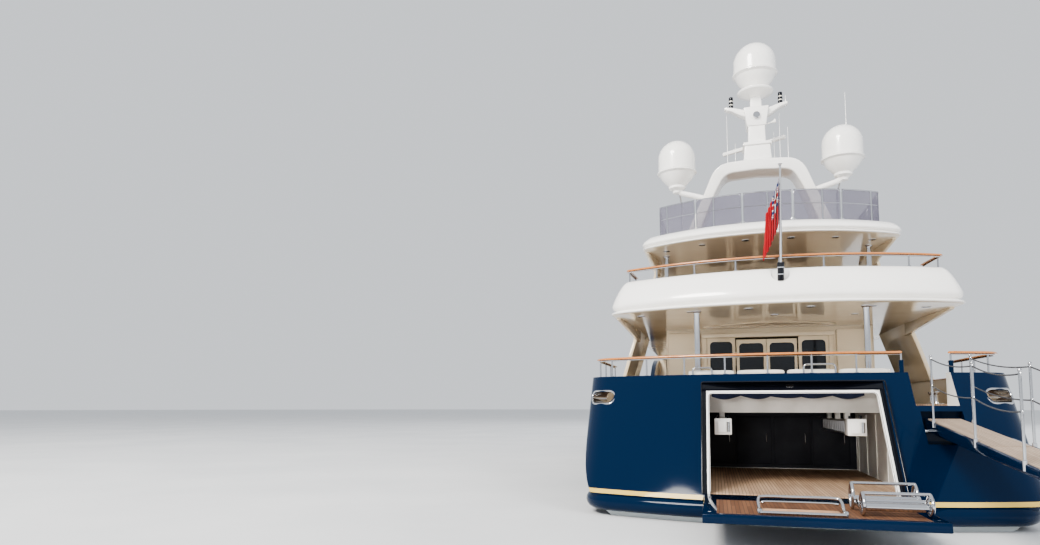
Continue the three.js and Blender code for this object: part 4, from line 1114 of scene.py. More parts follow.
# %% Door leaves and surround
HOUSE_AFT, DOOR_WIDTH, DOOR_TOP = 8.6, 0.93, 4.63
BRIDGE_AFT, SKY_WIDTH, SKY_TOP = 12.5, 0.95, 7.2
for side in (1, -1):
    for name, width, y, floor, top in (
        ("saloon_door", DOOR_WIDTH, HOUSE_AFT + 0.065, MAIN_DECK, DOOR_TOP - 0.01),
        ("sky_door", SKY_WIDTH, BRIDGE_AFT + 0.065, UPPER_DECK, SKY_TOP - 0.01),
    ):
        node = name_side(name, side)
        x0, x1 = sorted((side * 0.005, side * width))
        leaf = glazed_leaf(f"{node}_leaf", x0, x1, y, floor + GAP, top)
        piece(leaf, body=node, replaces=[node])
fixed = []
for x0, x1 in ((0.97, 1.85), (-1.85, -0.97)):
    fixed.append(glazed_leaf("saloon_light", x0, x1, HOUSE_AFT - 0.01, MAIN_DECK + GAP, DOOR_TOP + 0.05))
    fixed.append(glazed_leaf(
        "sky_light", x0 * 1.02, x1 * 1.02, BRIDGE_AFT - 0.01, UPPER_DECK + GAP, SKY_TOP + 0.05
    ))
for x in (1.86, -1.99):
    fixed.append(soft_block(
        "jamb", (x, HOUSE_AFT - 0.07, MAIN_DECK + GAP), (x + 0.13, HOUSE_AFT + 0.02, 4.7), CREAM_WITH_PAINTED_SHADE, 0.02
    ))
fixed.append(soft_block(
    "lintel", (-2.02, HOUSE_AFT - 0.14, 4.67), (2.02, HOUSE_AFT + 0.02, 4.82), CREAM_WITH_PAINTED_SHADE, 0.03
))
for x in (2.06, -3.1):
    fixed.append(soft_block(
        "locker", (x, HOUSE_AFT - 0.2, MAIN_DECK + GAP), (x + 1.04, HOUSE_AFT + 0.02, 4.86), CREAM_WITH_PAINTED_SHADE, 0.04
    ))
piece(merge("after_door_surround", fixed))

# %% [markdown]
# The houses' flat walls need no finer mesh than the CAD model's. What they lack is trim, so each
# window gets a black rubber seal with rounded corners, laid on the wall.


# %% House windows
def side_seal(side, x, y0, y1, z0, z1, name="seal"):
    ring = [(side * x, y, z) for y, z in rounded_rect(y0, y1, z0, z1, 0.14)]
    return tube(name, ring, 0.028, RUBBER, closed=True, steps=8)


MAIN_WALL, BRIDGE_WALL = 3.155, 3.005
seals = []
for side in (1, -1):
    for y in (10.2, 12.9, 15.6, 18.3, 21.0):
        seals.append(side_seal(side, MAIN_WALL, y, y + 2.3, 3.35, 4.45))
    for y in (13.6, 16.2, 18.8, 21.4):
        seals.append(side_seal(side, BRIDGE_WALL, y, y + 2.2, 5.95, 6.95))
piece(merge("window_seals", seals))

# %% [markdown]
# A CAD mesh that already has the right form keeps it, and only gets its finish: cream walls,
# doors and lounge base, in a cream darkened as painted shade, and dark glass.


# %% House finishes
def wear(node, material):
    thing = nodes[node]
    thing.data.materials.clear()
    thing.data.materials.append(material)
    print(node, "wears", material.name)


for node in ("main_deckhouse", "bridge_house", "bridge_door_starboard", "bridge_door_port", "lounge_base"):
    wear(node, CREAM_WITH_PAINTED_SHADE)
for node in ("deckhouse_glass", "bridge_glass"):
    wear(node, GLASS)

# %% [markdown]
# Polished pillars carry the upper deck. A flared collar at the head and foot hides the bolts.


# %% Pillars
def pillar(x, y, z0, z1, radius):
    profile = [
        (0, z0), (radius * 1.7, z0), (radius * 1.7, z0 + 0.02), (radius * 1.15, z0 + 0.05),
        (radius, z0 + 0.09), (radius, z1 - 0.09), (radius * 1.15, z1 - 0.05), (radius * 1.7, z1 - 0.02),
        (radius * 1.7, z1), (0, z1)
    ]
    return lathe("pillar", profile, (x, y), STEEL, 40)


for side in (1, -1):
    aft = pillar(side * 2.06, 3.9, MAIN_DECK + GAP, SOFFIT - GAP, 0.07)
    piece(aft, replaces=[name_side("aft_pillar", side)], name=name_side("aft_post", side))
    sun = pillar(side * 3.1, 8.5, UPPER_DECK + GAP, SUN_SOFFIT - GAP, 0.065)
    piece(sun, replaces=[name_side("sun_pillar", side)], name=name_side("sun_post", side))

# %% [markdown]
# Tinted wind screens stand round the sun deck. Each pane bends with the deck's edge inside a
# rounded steel frame, so the frame is drawn flat first, then wrapped along the curve.


# %% Sun deck screens
def along(path):
    """Returns the path's length and a function that finds the point at any distance along it."""
    reach = [0]
    for a, b in zip(path, path[1:]):
        reach.append(reach[-1] + math.dist(a, b))

    def at(s):
        i = max(k for k in range(len(path) - 1) if reach[k] <= max(s, 0))
        t = (s - reach[i]) / (reach[i + 1] - reach[i])
        return tuple(a + (b - a) * t for a, b in zip(path[i], path[i + 1]))

    return reach[-1], at


# %% [markdown]
# Eleven equal panes share the curve, with a post between each two and a rail at half height.

# %% Screen panes
SCREEN_INSET, SCREEN_TOP, MID_RAIL = 0.56, 8.89, 8.46
PANE_FOOT, FRAME_FOOT, POST_FOOT = 7.96, 7.95, 7.9
screen_side = SUN["half"] - SCREEN_INSET
screen_path = [(screen_side, 12)] + [
    (x, y + SUN["aft"]) for x, y in rounded_end(SUN, SCREEN_INSET)
] + [(-screen_side, 12)]
total, screen_at = along(screen_path)
PANES = 11
panes, frames = [], []
for i in range(PANES):
    s0, s1 = total * i / PANES + 0.03, total * (i + 1) / PANES - 0.03
    curve = [screen_at(s0 + (s1 - s0) * k / 12) for k in range(13)]
    height = SCREEN_TOP - PANE_FOOT
    panes.append(sweep(
        "pane", level(curve, PANE_FOOT), [(-0.006, 0), (0.006, 0), (0.006, height), (-0.006, height)], TINTED,
        upright=True
    ))
    flat = rounded_rect(s0, s1, FRAME_FOOT, SCREEN_TOP - 0.02, 0.1, 5)
    corners = []
    for (a, b), (c, d) in zip(flat, flat[1:] + flat[:1]):
        count = max(1, round(abs(c - a) / 0.16))
        corners += [(a + (c - a) * k / count, b + (d - b) * k / count) for k in range(count)]
    frames.append(tube(
        "pane_frame", [(*screen_at(s), z) for s, z in corners], 0.015, STEEL, closed=True, steps=8
    ))
    frames.append(tube(
        "mid_rail", [(*screen_at(s0 + (s1 - s0) * k / 8), MID_RAIL) for k in range(9)], 0.011, STEEL, steps=6
    ))
frames.append(bars(
    "screen_posts", level(screen_path, POST_FOOT), total / PANES, 0.024, SCREEN_TOP - POST_FOOT, STEEL
))
piece(merge("screen_panes", panes), replaces=["sun_screen"])
piece(merge("screen_frames", frames), replaces=["sun_screen"])

# %% [markdown]
# The radar arch is one moulding. Its outline is drawn once, its corners are rounded by a small
# helper, and the two faces lean towards each other as they rise.


# %% Radar arch
def soften(points, radius, steps=6):
    """Rounds the corners of an open line with short curves that start `radius` before each."""
    line = [Vector(p) for p in points]
    soft = [line[0]]
    for a, b, c in zip(line, line[1:], line[2:]):
        reach = min(radius, (b - a).length * 0.48, (c - b).length * 0.48)
        start, end = b + (a - b).normalized() * reach, b + (c - b).normalized() * reach
        for i in range(steps + 1):
            t = i / steps
            soft.append(start * (1 - t) ** 2 + b * 2 * t * (1 - t) + end * t * t)
    soft.append(line[-1])
    return soft


def arch_frame():
    outer = soften([(2.95, SUN_DECK + GAP), (1.87, 9.98), (1.42, 11.02), (0, 11.1)], 0.5)
    inner = soften([(0, 10.72), (1.12, 10.66), (1.5, 9.98), (2.42, SUN_DECK + GAP)], 0.3)
    half = [tuple(p) for p in outer]
    mirrored = [(-x, z) for x, z in reversed(half[:-1])]
    inside = [tuple(p) for p in inner]
    outline = half + mirrored + [(-x, z) for x, z in reversed(inside[1:])] + inside
    rings = []
    for slope_y, start in ((-0.18, 10.6), (-0.4, 12.3)):
        rings.append([(x, start + slope_y * (z - SUN_DECK), z) for x, z in outline])
    return bevel(loft("arch", rings, WHITE), 0.05, 4)


DOME_X, DOME_BASE = 2.8, 10.45
arch_parts = [arch_frame()]
for side in (1, -1):
    arm = [
        (side * 1.7, MAST_Y, 9.9), (side * 2.2, MAST_Y, 10.06), (side * 2.62, MAST_Y, 10.2),
        (side * DOME_X, MAST_Y, 10.36)
    ]
    arch_parts.append(tube("dome_arm", smooth_path(arm), 0.1, WHITE, steps=20))
    flange = [
        (0, DOME_BASE - 0.24), (0.15, DOME_BASE - 0.24), (0.17, DOME_BASE - 0.16), (0.3, DOME_BASE - 0.08),
        (0.3, DOME_BASE - GAP), (0, DOME_BASE - GAP)
    ]
    arch_parts.append(lathe("dome_seat", flange, (side * DOME_X, MAST_Y), WHITE, 40))
    post = [
        (side * 2.66, MAST_Y + 0.5, SUN_BAND_TOP), (side * 2.66, MAST_Y + 0.5, 9.9),
        (side * 2.74, MAST_Y + 0.15, 10.3)
    ]
    arch_parts.append(tube("dome_post", post, 0.035, STEEL, steps=12))
piece(merge("arch_moulding", arch_parts), replaces=["radar_arch"])

# %% [markdown]
# Satellite domes are turned shapes: a dished base, a flange where the two shells bolt together,
# a short wall and a round crown. Sixteen small bolt heads sit on the flange.


# %% Satellite domes
def crown(radius, wall, height, steps=16):
    centre = height - radius
    arc = [
        (radius * math.cos(a), centre + radius * math.sin(a))
        for a in [math.pi / 2 * i / steps for i in range(steps)]
    ]
    return [(radius, wall)] + arc + [(0, height)]


def dome(name, x, base, radius, height, waist, node):
    profile = [
        (0, 0), (0.28, 0), (0.32, 0.03), (radius * 0.8, waist * 0.5), (radius * 0.95, waist * 0.86),
        (radius + 0.045, waist - 0.02), (radius + 0.045, waist + 0.015), (radius + 0.005, waist + 0.035),
        (radius - 0.008, waist + 0.045)
    ] + crown(radius, waist + 0.06, height)
    shell = lathe(name, [(r, base + z) for r, z in profile], (x, MAST_Y), WHITE, 96)
    ring = [
        (x + (radius + 0.026) * math.cos(a), MAST_Y + (radius + 0.026) * math.sin(a), base + waist - 0.032)
        for a in angles(96)
    ]
    spacing = 2 * math.pi * (radius + 0.026) / 16
    bolts = bars(f"{name}_bolts", ring, spacing, 0.012, 0.02, STEEL, closed=True)
    piece(merge(name, [shell, bolts]), angle=22, replaces=[node])


dome("starboard_dome", DOME_X, DOME_BASE, 0.66, 1.7, 0.5, "side_dome_starboard")
dome("port_dome", -DOME_X, DOME_BASE, 0.66, 1.7, 0.5, "side_dome_port")
dome("upper_dome", 0, 13.72, 0.73, 1.75, 0.6, "top_dome")

# %% [markdown]
# The mast is a stack of tapered boxes with soft edges. It carries two raised arms with signal
# lights, a round floodlight and a horn. First come the helpers for the boxes, arms and lights.


# %% Mast
def tapered(name, z0, low, z1, high, width=0.035):
    rings = [level([(-x, a), (x, a), (x, b), (-x, b)], z) for z, (x, a, b) in ((z0, low), (z1, high))]
    return bevel(loft(name, rings, WHITE), width)


def mast_arm(side):
    path = [
        (0.3, 12.86, 0.2, 0.13), (0.56, 12.98, 0.18, 0.11), (0.84, 13.12, 0.15, 0.07),
        (1.08, 13.18, 0.13, 0.045)
    ]
    rings = []
    for x, z, half, thick in path:
        rings.append([
            (side * x, MAST_Y + 0.05 + a * half, z + b * thick)
            for a, b in ((-1, -1), (1, -1), (1, 1), (-1, 1))
        ])
    return bevel(loft("mast_arm", rings, WHITE), 0.03)


def light_stack(x, y, z):
    """A signal light: black caps, clear lenses between them."""
    parts = []
    for height, radius, material in (
        (0.13, 0.08, BLACK), (0.05, 0.062, LAMP), (0.08, 0.082, BLACK), (0.05, 0.062, LAMP),
        (0.12, 0.075, BLACK)
    ):
        profile = [
            (0, z), (radius * 0.94, z), (radius, z + 0.012), (radius, z + height - 0.012),
            (radius * 0.9, z + height), (0, z + height)
        ]
        parts.append(lathe("stack", profile, (x, y), material, 28))
        z += height
    return merge("light_stack", parts)


# %% [markdown]
# Every box of the mast is given by its height, half width, after and fore faces at both ends. Whip
# aerials stand on the arch's top, the arms and the starboard dome.

# %% Mast parts
mast_parts = [
    tapered("mast_base", 11.1 + GAP, (0.47, 10.1, 10.95), 11.68, (0.42, 10.12, 10.92)),
    tapered("mast_step", 11.62, (0.5, 10.06, 10.96), 11.74, (0.46, 10.08, 10.94)),
    tapered("mast_trunk", 11.6, (0.3, 10.22, 10.88), 12.42, (0.28, 10.24, 10.86)),
    tapered("mast_crown", 12.36, (0.32, 10.2, 10.9), 13.06, (0.43, 10.2, 10.9)),
    tapered("mast_neck", 13.0, (0.2, 10.34, 10.74), 13.6, (0.18, 10.36, 10.72)),
    lathe(
        "dome_plate",
        [
            (0, 13.45), (0.2, 13.47), (0.42, 13.56), (0.6, 13.63), (0.62, 13.66), (0.62, 13.7),
            (0.6, 13.72 - GAP), (0, 13.72 - GAP)
        ],
        (0, MAST_Y), WHITE, 48
    ),
    mast_arm(1), mast_arm(-1), light_stack(0.84, MAST_Y + 0.05, 13.18),
    light_stack(-0.84, MAST_Y + 0.05, 13.18),
    tapered("scanner_bracket", 11.9, (0.13, 10.8, 12.6), 12.06, (0.11, 10.8, 12.58), 0.02),
    lathe(
        "scanner_foot", [(0, 12.0), (0.2, 12.0), (0.17, 12.06), (0.16, 12.19), (0, 12.19)], (0, 12.4), WHITE,
        32
    )
]
flood = lathe(
    "floodlight", [(0, 0), (0.1, 0), (0.115, 0.02), (0.115, 0.09), (0.1, 0.1), (0.09, 0.085), (0, 0.085)],
    (0, 0), STEEL, 32
)
put(flood, (0, 10.2, 12.72), math.pi / 2, "X")
mast_parts.append(flood)
horn = lathe(
    "horn", [(0.02, 0), (0.03, 0.18), (0.05, 0.27), (0.09, 0.33), (0.075, 0.33), (0.04, 0.26), (0.0, 0.25)],
    (0, 0), WHITE, 24
)
put(horn, (0.34, 10.55, 12.5), math.radians(75), "Y")
mast_parts.append(horn)
for x, y, z0, z1 in (
    (-1.0, 10.7, 11.02, 13.1), (-0.72, 10.9, 11.06, 12.0), (0.62, 10.9, 11.06, 12.3),
    (0.8, 10.7, 11.05, 12.9), (1.02, 10.6, 13.22, 13.5), (1.05, 10.5, 11.03, 12.3), (2.95, 10.5, 12.14, 13.35)
):
    whip = [(0, z0), (0.022, z0), (0.022, z0 + 0.12), (0.011, z0 + 0.14), (0.006, z1), (0, z1)]
    mast_parts.append(lathe("whip", whip, (x, y), WHITE, 10))
piece(merge("mast_stack", mast_parts), replaces=["mast"])

# %% [markdown]
# The radar bar turns with its gearbox head, so the two are one piece on the scanner's body.

# %% Radar bar
SCANNER_Y = 12.4
head = [(0, 12.19 + GAP), (0.13, 12.19 + GAP), (0.14, 12.22), (0.13, 12.34), (0, 12.35)]
scanner_head = lathe("gearbox", head, (0, SCANNER_Y), WHITE, 32)
bar_ring = rounded_rect(-0.07, 0.07, -0.02, 0.13, 0.05, 4)
bar_body = loft("array", [[(x, a * s, b * s + 0.055 * (1 - s)) for a, b in bar_ring]
                          for x, s in ((-1.3, 0.7), (-1.27, 1), (1.27, 1), (1.3, 0.7))], WHITE)
put(bar_body, (0, SCANNER_Y, 12.35), math.radians(-32), "Z")
piece(merge("radar_bar", [scanner_head, bar_body]), body="radar_scanner", replaces=["radar_scanner"])

# %% [markdown]
# The stern is where the photograph looks. The doorway sits in a dark, glossy recess, with a white
# rubber seal all round it. Both follow the transom's rake, so a strip is drawn on that slope.


# %% Doorway seal and recess trim
def raked_strip(name, path, width, near, far, material):
    """A flat strip along an (x, z) path on the transom's slope, from near to far behind its face."""
    line = [Vector(p) for p in path]
    rings = []
    for i, point in enumerate(line):
        ahead = (line[min(i + 1, len(line) - 1)] - line[max(i - 1, 0)]).normalized()
        across = Vector((-ahead.y, ahead.x)) * width / 2
        inner, outer = point - across, point + across
        rings.append([
            (p.x, transom_y(p.y) + y, p.y)
            for p, y in ((inner, near), (outer, near), (outer, far), (inner, far))
        ])
    return loft(name, rings, material)


def doorway_path(half, foot, head, radius):
    return soften([(-half, foot), (-half, head), (half, head), (half, foot)], radius)


seal = raked_strip(
    "seal", doorway_path(1.808, 0.66, 2.774, 0.12), 0.072, RECESS_DEPTH + 0.001, RECESS_DEPTH + 0.05, WHITE
)
groove = raked_strip(
    "groove", doorway_path(1.79, 0.66, 2.756, 0.11), 0.01, RECESS_DEPTH - 0.001, RECESS_DEPTH + 0.03, RUBBER
)
piece(merge("doorway_seal", [bevel(seal, 0.012), groove]))
edge = raked_strip("edge", doorway_path(1.942, 0.64, 3.012, 0.05), 0.026, -0.008, 0.03, BLACK)
piece(bevel(edge, 0.008, 2), name="recess_edge")
latch = [(x, z + 2.92) for x, z in stadium(0.085, 0.045)]
plate = loft(
    "latch",
    [[(x, transom_y(z) + y, z) for x, z in latch] for y in (RECESS_DEPTH - 0.03, RECESS_DEPTH + 0.01)], STEEL
)
piece(bevel(plate, 0.01), name="recess_latch")

# %% [markdown]
# Inside, the garage has white gelcoat walls, greyed as painted shade, a teak floor and two aluminium beams
# overhead. The
# CAD lining and floor stay, and get their finish. Near-black lockers close the forward end, as painted shade.

# %% Garage finishes
GARAGE_TEAK = planks("garage_teak", (0.62, 0.45, 0.31), (0.48, 0.33, 0.22), 0.07)
# Near-black finish for the forward lockers and bulkhead: painted shade for the garage's dark far end.
LOCKER_PAINTED_SHADE = plain("locker_painted_shade", (0.012, 0.014, 0.02), (0.028, 0.03, 0.038), 0.5, 0.65, 4)
ALLOY = metal("brushed_alloy", (0.62, 0.63, 0.64), 0.3, 0.5)
wear("garage_lining", LINING_PAINTED_SHADE)
wear("garage_floor", GARAGE_TEAK)

# %% [markdown]
# A launching beam has an I-section with ribs along both sides. At its outer end sits a white box
# with a cover and a small roller.

# %% Launching beams
BEAM_X, BEAM_LOW, BEAM_HIGH, BEAM_ENDS = 1.47, 1.8, 2.12, (2.6, 6.62)


def launching_beam(side):
    x, low, high = side * BEAM_X, BEAM_LOW, BEAM_HIGH
    flange = [(-0.17, 0), (0.17, 0), (0.17, 0.03), (0.03, 0.05), (-0.03, 0.05), (-0.17, 0.03)]
    beam = [loft("beam", [[(x + a, y, low + b) for a, b in flange] for y in BEAM_ENDS], ALLOY),
            loft("beam", [[(x + a, y, high - b) for a, b in flange] for y in BEAM_ENDS], ALLOY),
            block("web", (x - 0.102, 2.7, low + 0.03), (x + 0.102, 6.6, high - 0.03), ALLOY)]
    for rib_x in (x - 0.125, x + 0.125):
        line = [(rib_x, 2.95, low + 0.03), (rib_x, 6.55, low + 0.03)]
        beam.append(bars("rib", line, 0.3, 0.03, high - low - 0.06, ALLOY))
    box = soft_block("end_box", (x - 0.2, 2.33, 1.77), (x + 0.2, 2.77, 2.16), WHITE, 0.02)
    cover = soft_block("cover", (x - 0.13, 2.3, 1.82), (x + 0.07, 2.34, 2.1), WHITE, 0.015)
    roller = tube("roller", [(x + 0.12, 2.3, 1.84), (x + 0.12, 2.3, 2.08)], 0.035, STEEL)
    knobs = bars("knobs", [(x - 0.12, 2.55, 2.16), (x + 0.12, 2.55, 2.16)], 0.24, 0.03, 0.07, BLACK)
    return merge("launching_beam", beam + [box, cover, roller, knobs])


# %% [markdown]
# Round lamps in the ceiling, battens on the side walls and the row of near-black lockers, whose dark is
# painted shade, make up the rest.


# %% Garage fittings
def ceiling_lamps():
    rows = []
    for x in (-0.9, 0.9):
        row = [(x, 3.9, 2.285), (x, 6.5, 2.285)]
        rows.append(bars("lamps", row, 0.86, 0.1, 0.014, LAMP))
    return merge("garage_lamps", rows)


def wall_battens():
    parts = []
    for side in (1, -1):
        line = [(side * 2.245, 2.0, GARAGE_FLOOR), (side * 2.245, 6.6, GARAGE_FLOOR)]
        parts.append(bars("batten", line, 1.15, 0.012, 1.6, LINING_PAINTED_SHADE))
    # The locker doors and the bulkhead behind them are near black, as painted shade at the garage's far end.
    for x0 in (-2.1, -1.05, 0.02, 1.07):
        door = block("locker", (x0, 6.88, 0.75), (x0 + 1.0, 6.925, 2.15), LOCKER_PAINTED_SHADE)
        bend = [(x0 + 0.85, y, z) for y, z in ((6.88, 1.35), (6.83, 1.4), (6.83, 1.6), (6.88, 1.65))]
        handle = tube("handle", bend, 0.014, STEEL, steps=8)
        parts += [bevel(door, 0.02), handle]
    parts.append(block("painted_shade_bulkhead", (-2.24, 6.92, 0.64), (2.24, 6.945, 2.27), LOCKER_PAINTED_SHADE))
    return merge("garage_fittings", parts)


beams = merge("launching_beams", [launching_beam(1), launching_beam(-1)])
piece(beams)
piece(merge("garage_details", [ceiling_lamps(), wall_battens()]))

# %% [markdown]
# A dark blue curtain is rolled up under the head of the doorway; its near-black blue is partly painted shade
# under the head. It is one strip of cloth that hangs in shallow folds, so its path waves and its lower edge
# droops between its ties.


# %% Curtain
def woven(name, dark, light, thread=1400.0, sheen=0.4):
    cloth = new_finish(name, light, 0.85, Sheen_Weight=sheen, Sheen_Roughness=0.5)
    tint(cloth, noise(cloth, object_coordinates(cloth), 7, 5), dark, light)
    settings = {"wave_type": "BANDS", "bands_direction": "DIAGONAL"}
    weave = add_node(cloth, "ShaderNodeTexWave", settings, {"Scale": thread / 6.28, "Distortion": 0.4})
    link(cloth, object_coordinates(cloth), weave.inputs["Vector"])
    bump(cloth, weave.outputs["Fac"], 0.25, 0.0006)
    return cloth


# Near-black blue cloth: partly the cloth's own colour, partly painted shade under the doorway's head.
CURTAIN_WITH_PAINTED_SHADE = woven("curtain_cloth_painted_shade", (0.006, 0.01, 0.03), (0.012, 0.02, 0.055))
CURTAIN_LEFT, CURTAIN_TOP, CURTAIN_WIDTH, FULLNESS = -1.72, 2.765, 3.3, 1.02


def grid_faces(columns, rows):
    corners = [i * (rows + 1) + k for i in range(columns) for k in range(rows)]
    return [(a, a + rows + 1, a + rows + 2, a + 1) for a in corners]


def thicken(cloth, thickness):
    solid = cloth.modifiers.new("thickness", "SOLIDIFY")
    solid.thickness = thickness
    return bake(cloth)


def curtain():
    columns, rows = 120, 8
    front = []
    for i in range(columns + 1):
        s = i / columns
        x = CURTAIN_LEFT + CURTAIN_WIDTH * s
        tie = abs(math.sin(s * math.pi * 5))
        drop = 0.09 + 0.055 * tie + 0.015 * math.sin(s * 23)
        for k in range(rows + 1):
            t = k / rows
            z = CURTAIN_TOP - drop * t
            y = 1.98 + 0.022 * math.sin(t * math.pi) * (0.4 + tie) + 0.009 * math.sin(s * 90) * t
            front.append((x, y, z))
    return thicken(raw("curtain", front, grid_faces(columns, rows), CURTAIN_WITH_PAINTED_SHADE), 0.006)


def one_side_area(thing):
    return sum(face.area for face in thing.data.polygons) / 2


rod = tube("curtain_rod", [(-1.74, 1.995, 2.772), (1.6, 1.995, 2.772)], 0.012, STEEL)
piece(rod)
hung = piece(curtain())

# %% [markdown]
# The stern door lies open as the bathing platform. Its frame is painted navy, and the teak is let
# in flush, with a wide border at the hinge side, as on the real one.

# %% Bathing platform
PLATFORM = GARAGE_FLOOR
HINGE_Y = transom_y(PLATFORM - 0.04) + (DOOR["thick"] - 0.04) * math.hypot(1, RAKE)
door_aft, door_fore = HINGE_Y - 2.78, HINGE_Y + 0.05
slab = block("slab", (-1.9, door_aft, PLATFORM - 0.16), (1.9, door_fore, PLATFORM), NAVY)
bevel(slab, 0.02)
pin = tube(
    "hinge_pin", [(-1.929, HINGE_Y, PLATFORM - 0.04), (1.929, HINGE_Y, PLATFORM - 0.04)], 0.03, STEEL,
    steps=20
)
piece(merge("platform_frame", [slab, pin]), body="stern_door", replaces=["stern_door"])
inlay = block(
    "inlay", (-1.66, door_aft + 0.14, PLATFORM - 0.01), (1.66, door_fore - 0.85, PLATFORM + 0.0007), WET_TEAK
)
piece(inlay, body="stern_door", name="platform_teak")
flush = []
for x in (-1.78, 1.78):
    row = [(x, door_aft + 0.3, PLATFORM), (x, door_fore - 0.4, PLATFORM)]
    flush.append(bars("fastening", row, 1.0, 0.03, 0.004, STEEL))
piece(merge("platform_fastenings", flush), body="stern_door")

# %% [markdown]
# The bathing ladder lies folded on the platform. It is bent stainless tube, drawn as a smooth
# curve through its bends, with knuckles at its hinges and a tan tread panel between its legs.

# %% Bathing ladder
z = PLATFORM + 0.04
bow = smooth_path([
    (-0.95, -2.48, z), (-0.95, -2.27, z + 0.03), (-0.95, -2.0, z + 0.155), (-0.85, -1.9, z + 0.198),
    (-0.3, -1.9, z + 0.2), (0.3, -1.9, z + 0.198), (0.4, -2.0, z + 0.155), (0.4, -2.27, z + 0.03),
    (0.4, -2.48, z)
])
ladder = [
    tube("bow", bow, 0.028, STEEL, steps=16),
    tube("foot", [(-0.95, -2.48, z), (0.4, -2.48, z)], 0.028, STEEL, steps=16)
]
inner_bow = [
    (x * 0.93 - 0.02, y - 0.02, h - 0.04)
    for x, y,
    h in [(-0.9, -2.0, z + 0.14), (-0.84, -1.96, z + 0.16), (0.3, -1.96, z + 0.16), (0.36, -2.0, z + 0.14)]
]
ladder.append(tube("rung", smooth_path(inner_bow), 0.018, STEEL, steps=12))
for x in (-0.95, 0.4):
    ladder.append(soft_block(
        "knuckle", (x - 0.04, -2.44, z - 0.038), (x + 0.04, -2.3, z + 0.05), STEEL, 0.012
    ))
panel = soft_block("panel", (-0.9, -2.43, z - 0.038), (0.35, -2.04, z + 0.008), TAN, 0.018)
treads = []
for k in range(4):
    y = -2.4 + 0.09 * k
    treads.append(soft_block("tread", (-0.84, y, z + 0.006), (0.29, y + 0.045, z + 0.014), TAN, 0.004, 2))
piece(merge("ladder_steel", ladder), body="stern_door", replaces=["bathing_ladder"])
piece(merge("ladder_panel", [panel] + treads), body="stern_door", replaces=["bathing_ladder"])

# %% [markdown]
# The boarding steps are two pairs of steel hoops joined by rails at their tops, with three
# polished rollers on arms between them.

# %% Boarding steps
z = PLATFORM + 0.0011
steps = []
for left, right, aft, fore, high in ((0.66, 1.68, -1.58, -1.3, 0.47), (0.7, 1.72, -2.33, -2.02, 0.38)):
    bend = (high - 0.06) / 3
    for x in (left, right):
        hoop = [
            (x, fore, z + 0.03 + bend), (x, fore, z + high - bend), (x, (aft + fore) / 2, z + high),
            (x, aft, z + high - bend), (x, aft, z + 0.03 + bend), (x, (aft + fore) / 2, z + 0.03)
        ]
        steps.append(tube("hoop", smooth_path(hoop, closed=True), 0.028, STEEL, closed=True, steps=14))
    middle = (aft + fore) / 2
    steps.append(tube("rail", [(left, middle, z + high), (right, middle, z + high)], 0.028, STEEL, steps=14))
for y, dz in ((-1.58, 0.2), (-1.92, 0.19), (-2.2, 0.16)):
    steps.append(tube("roller", [(0.66, y, z + dz), (1.72, y, z + dz)], 0.072, STEEL, steps=28))
for x in (0.69, 1.69):
    steps.append(tube(
        "arm", [(x, -1.4, z + 0.1), (x, -1.9, z + 0.15), (x, -2.25, z + 0.08)], 0.03, STEEL, steps=12
    ))
piece(merge("steps_steel", steps), body="stern_door", replaces=["boarding_steps"])

# %% [markdown]
# The gangway is a tapered box with pale, weathered teak on top, laid in three lengths with a dark
# joint between them. A pin carries its root, and a rubber roller its outer end.

# %% Gangway
GANGWAY = {"left": 2.62, "right": 3.36, "root": 1.6, "end": -4.55, "top": 2.2, "slope": 0.115}


def gangway_top(y):
    return GANGWAY["top"] + GANGWAY["slope"] * (y - GANGWAY["root"])


def gangway_slab(name, x0, x1, y0, y1, above, below, material):
    profile = [
        (y0, gangway_top(y0) + above), (y0, gangway_top(y0) - below), (y1, gangway_top(y1) - below),
        (y1, gangway_top(y1) + above)
    ]
    return side_cut(name, profile, x0, x1, material)


beam = side_cut("beam", [
    (GANGWAY["root"], gangway_top(GANGWAY["root"])), (GANGWAY["root"], gangway_top(GANGWAY["root"]) - 0.26),
    (GANGWAY["end"], gangway_top(GANGWAY["end"]) - 0.12), (GANGWAY["end"], gangway_top(GANGWAY["end"])),
], GANGWAY["left"], GANGWAY["right"], NAVY)
bevel(beam, 0.018)
pin = tube("pin", [(2.561, 1.3, 1.93), (3.419, 1.3, 1.93)], 0.04, STEEL, steps=20)
nose = tube(
    "nose_roller",
    [
        (GANGWAY["left"] + 0.03, GANGWAY["end"] + 0.06, gangway_top(GANGWAY["end"]) - 0.14),
        (GANGWAY["right"] - 0.03, GANGWAY["end"] + 0.06, gangway_top(GANGWAY["end"]) - 0.14)
    ],
    0.05, RUBBER, steps=20
)
piece(merge("gangway_beam", [beam, pin, nose]), body="passerelle", replaces=["passerelle"])
PALE_TEAK = planks("gangway_teak", (0.60, 0.48, 0.375), (0.48, 0.37, 0.285))
treads = []
for y0, y1 in ((-4.5, -1.98), (-1.93, 0.62), (0.66, 1.42)):
    treads.append(gangway_slab(
        "tread", GANGWAY["left"] + 0.06, GANGWAY["right"] - 0.07, y0, y1, 0.008, 0.02, PALE_TEAK
    ))
piece(merge("gangway_treads", treads), body="passerelle")

# %% [markdown]
# A post has a socket at its foot, a ball on top and an eye for each rope. The port side stands on
# shorter spacing than the starboard side, as on the real one.

# %% Gangway posts
RAILS = {
    "port": (GANGWAY["left"] + 0.012, (0.85, -1.5, -3.45)),
    "starboard": (GANGWAY["right"] - 0.012, (0.85, -1.9, -4.1))
}
ROPE_HEIGHTS = {"lower": 0.75, "upper": 1.3}


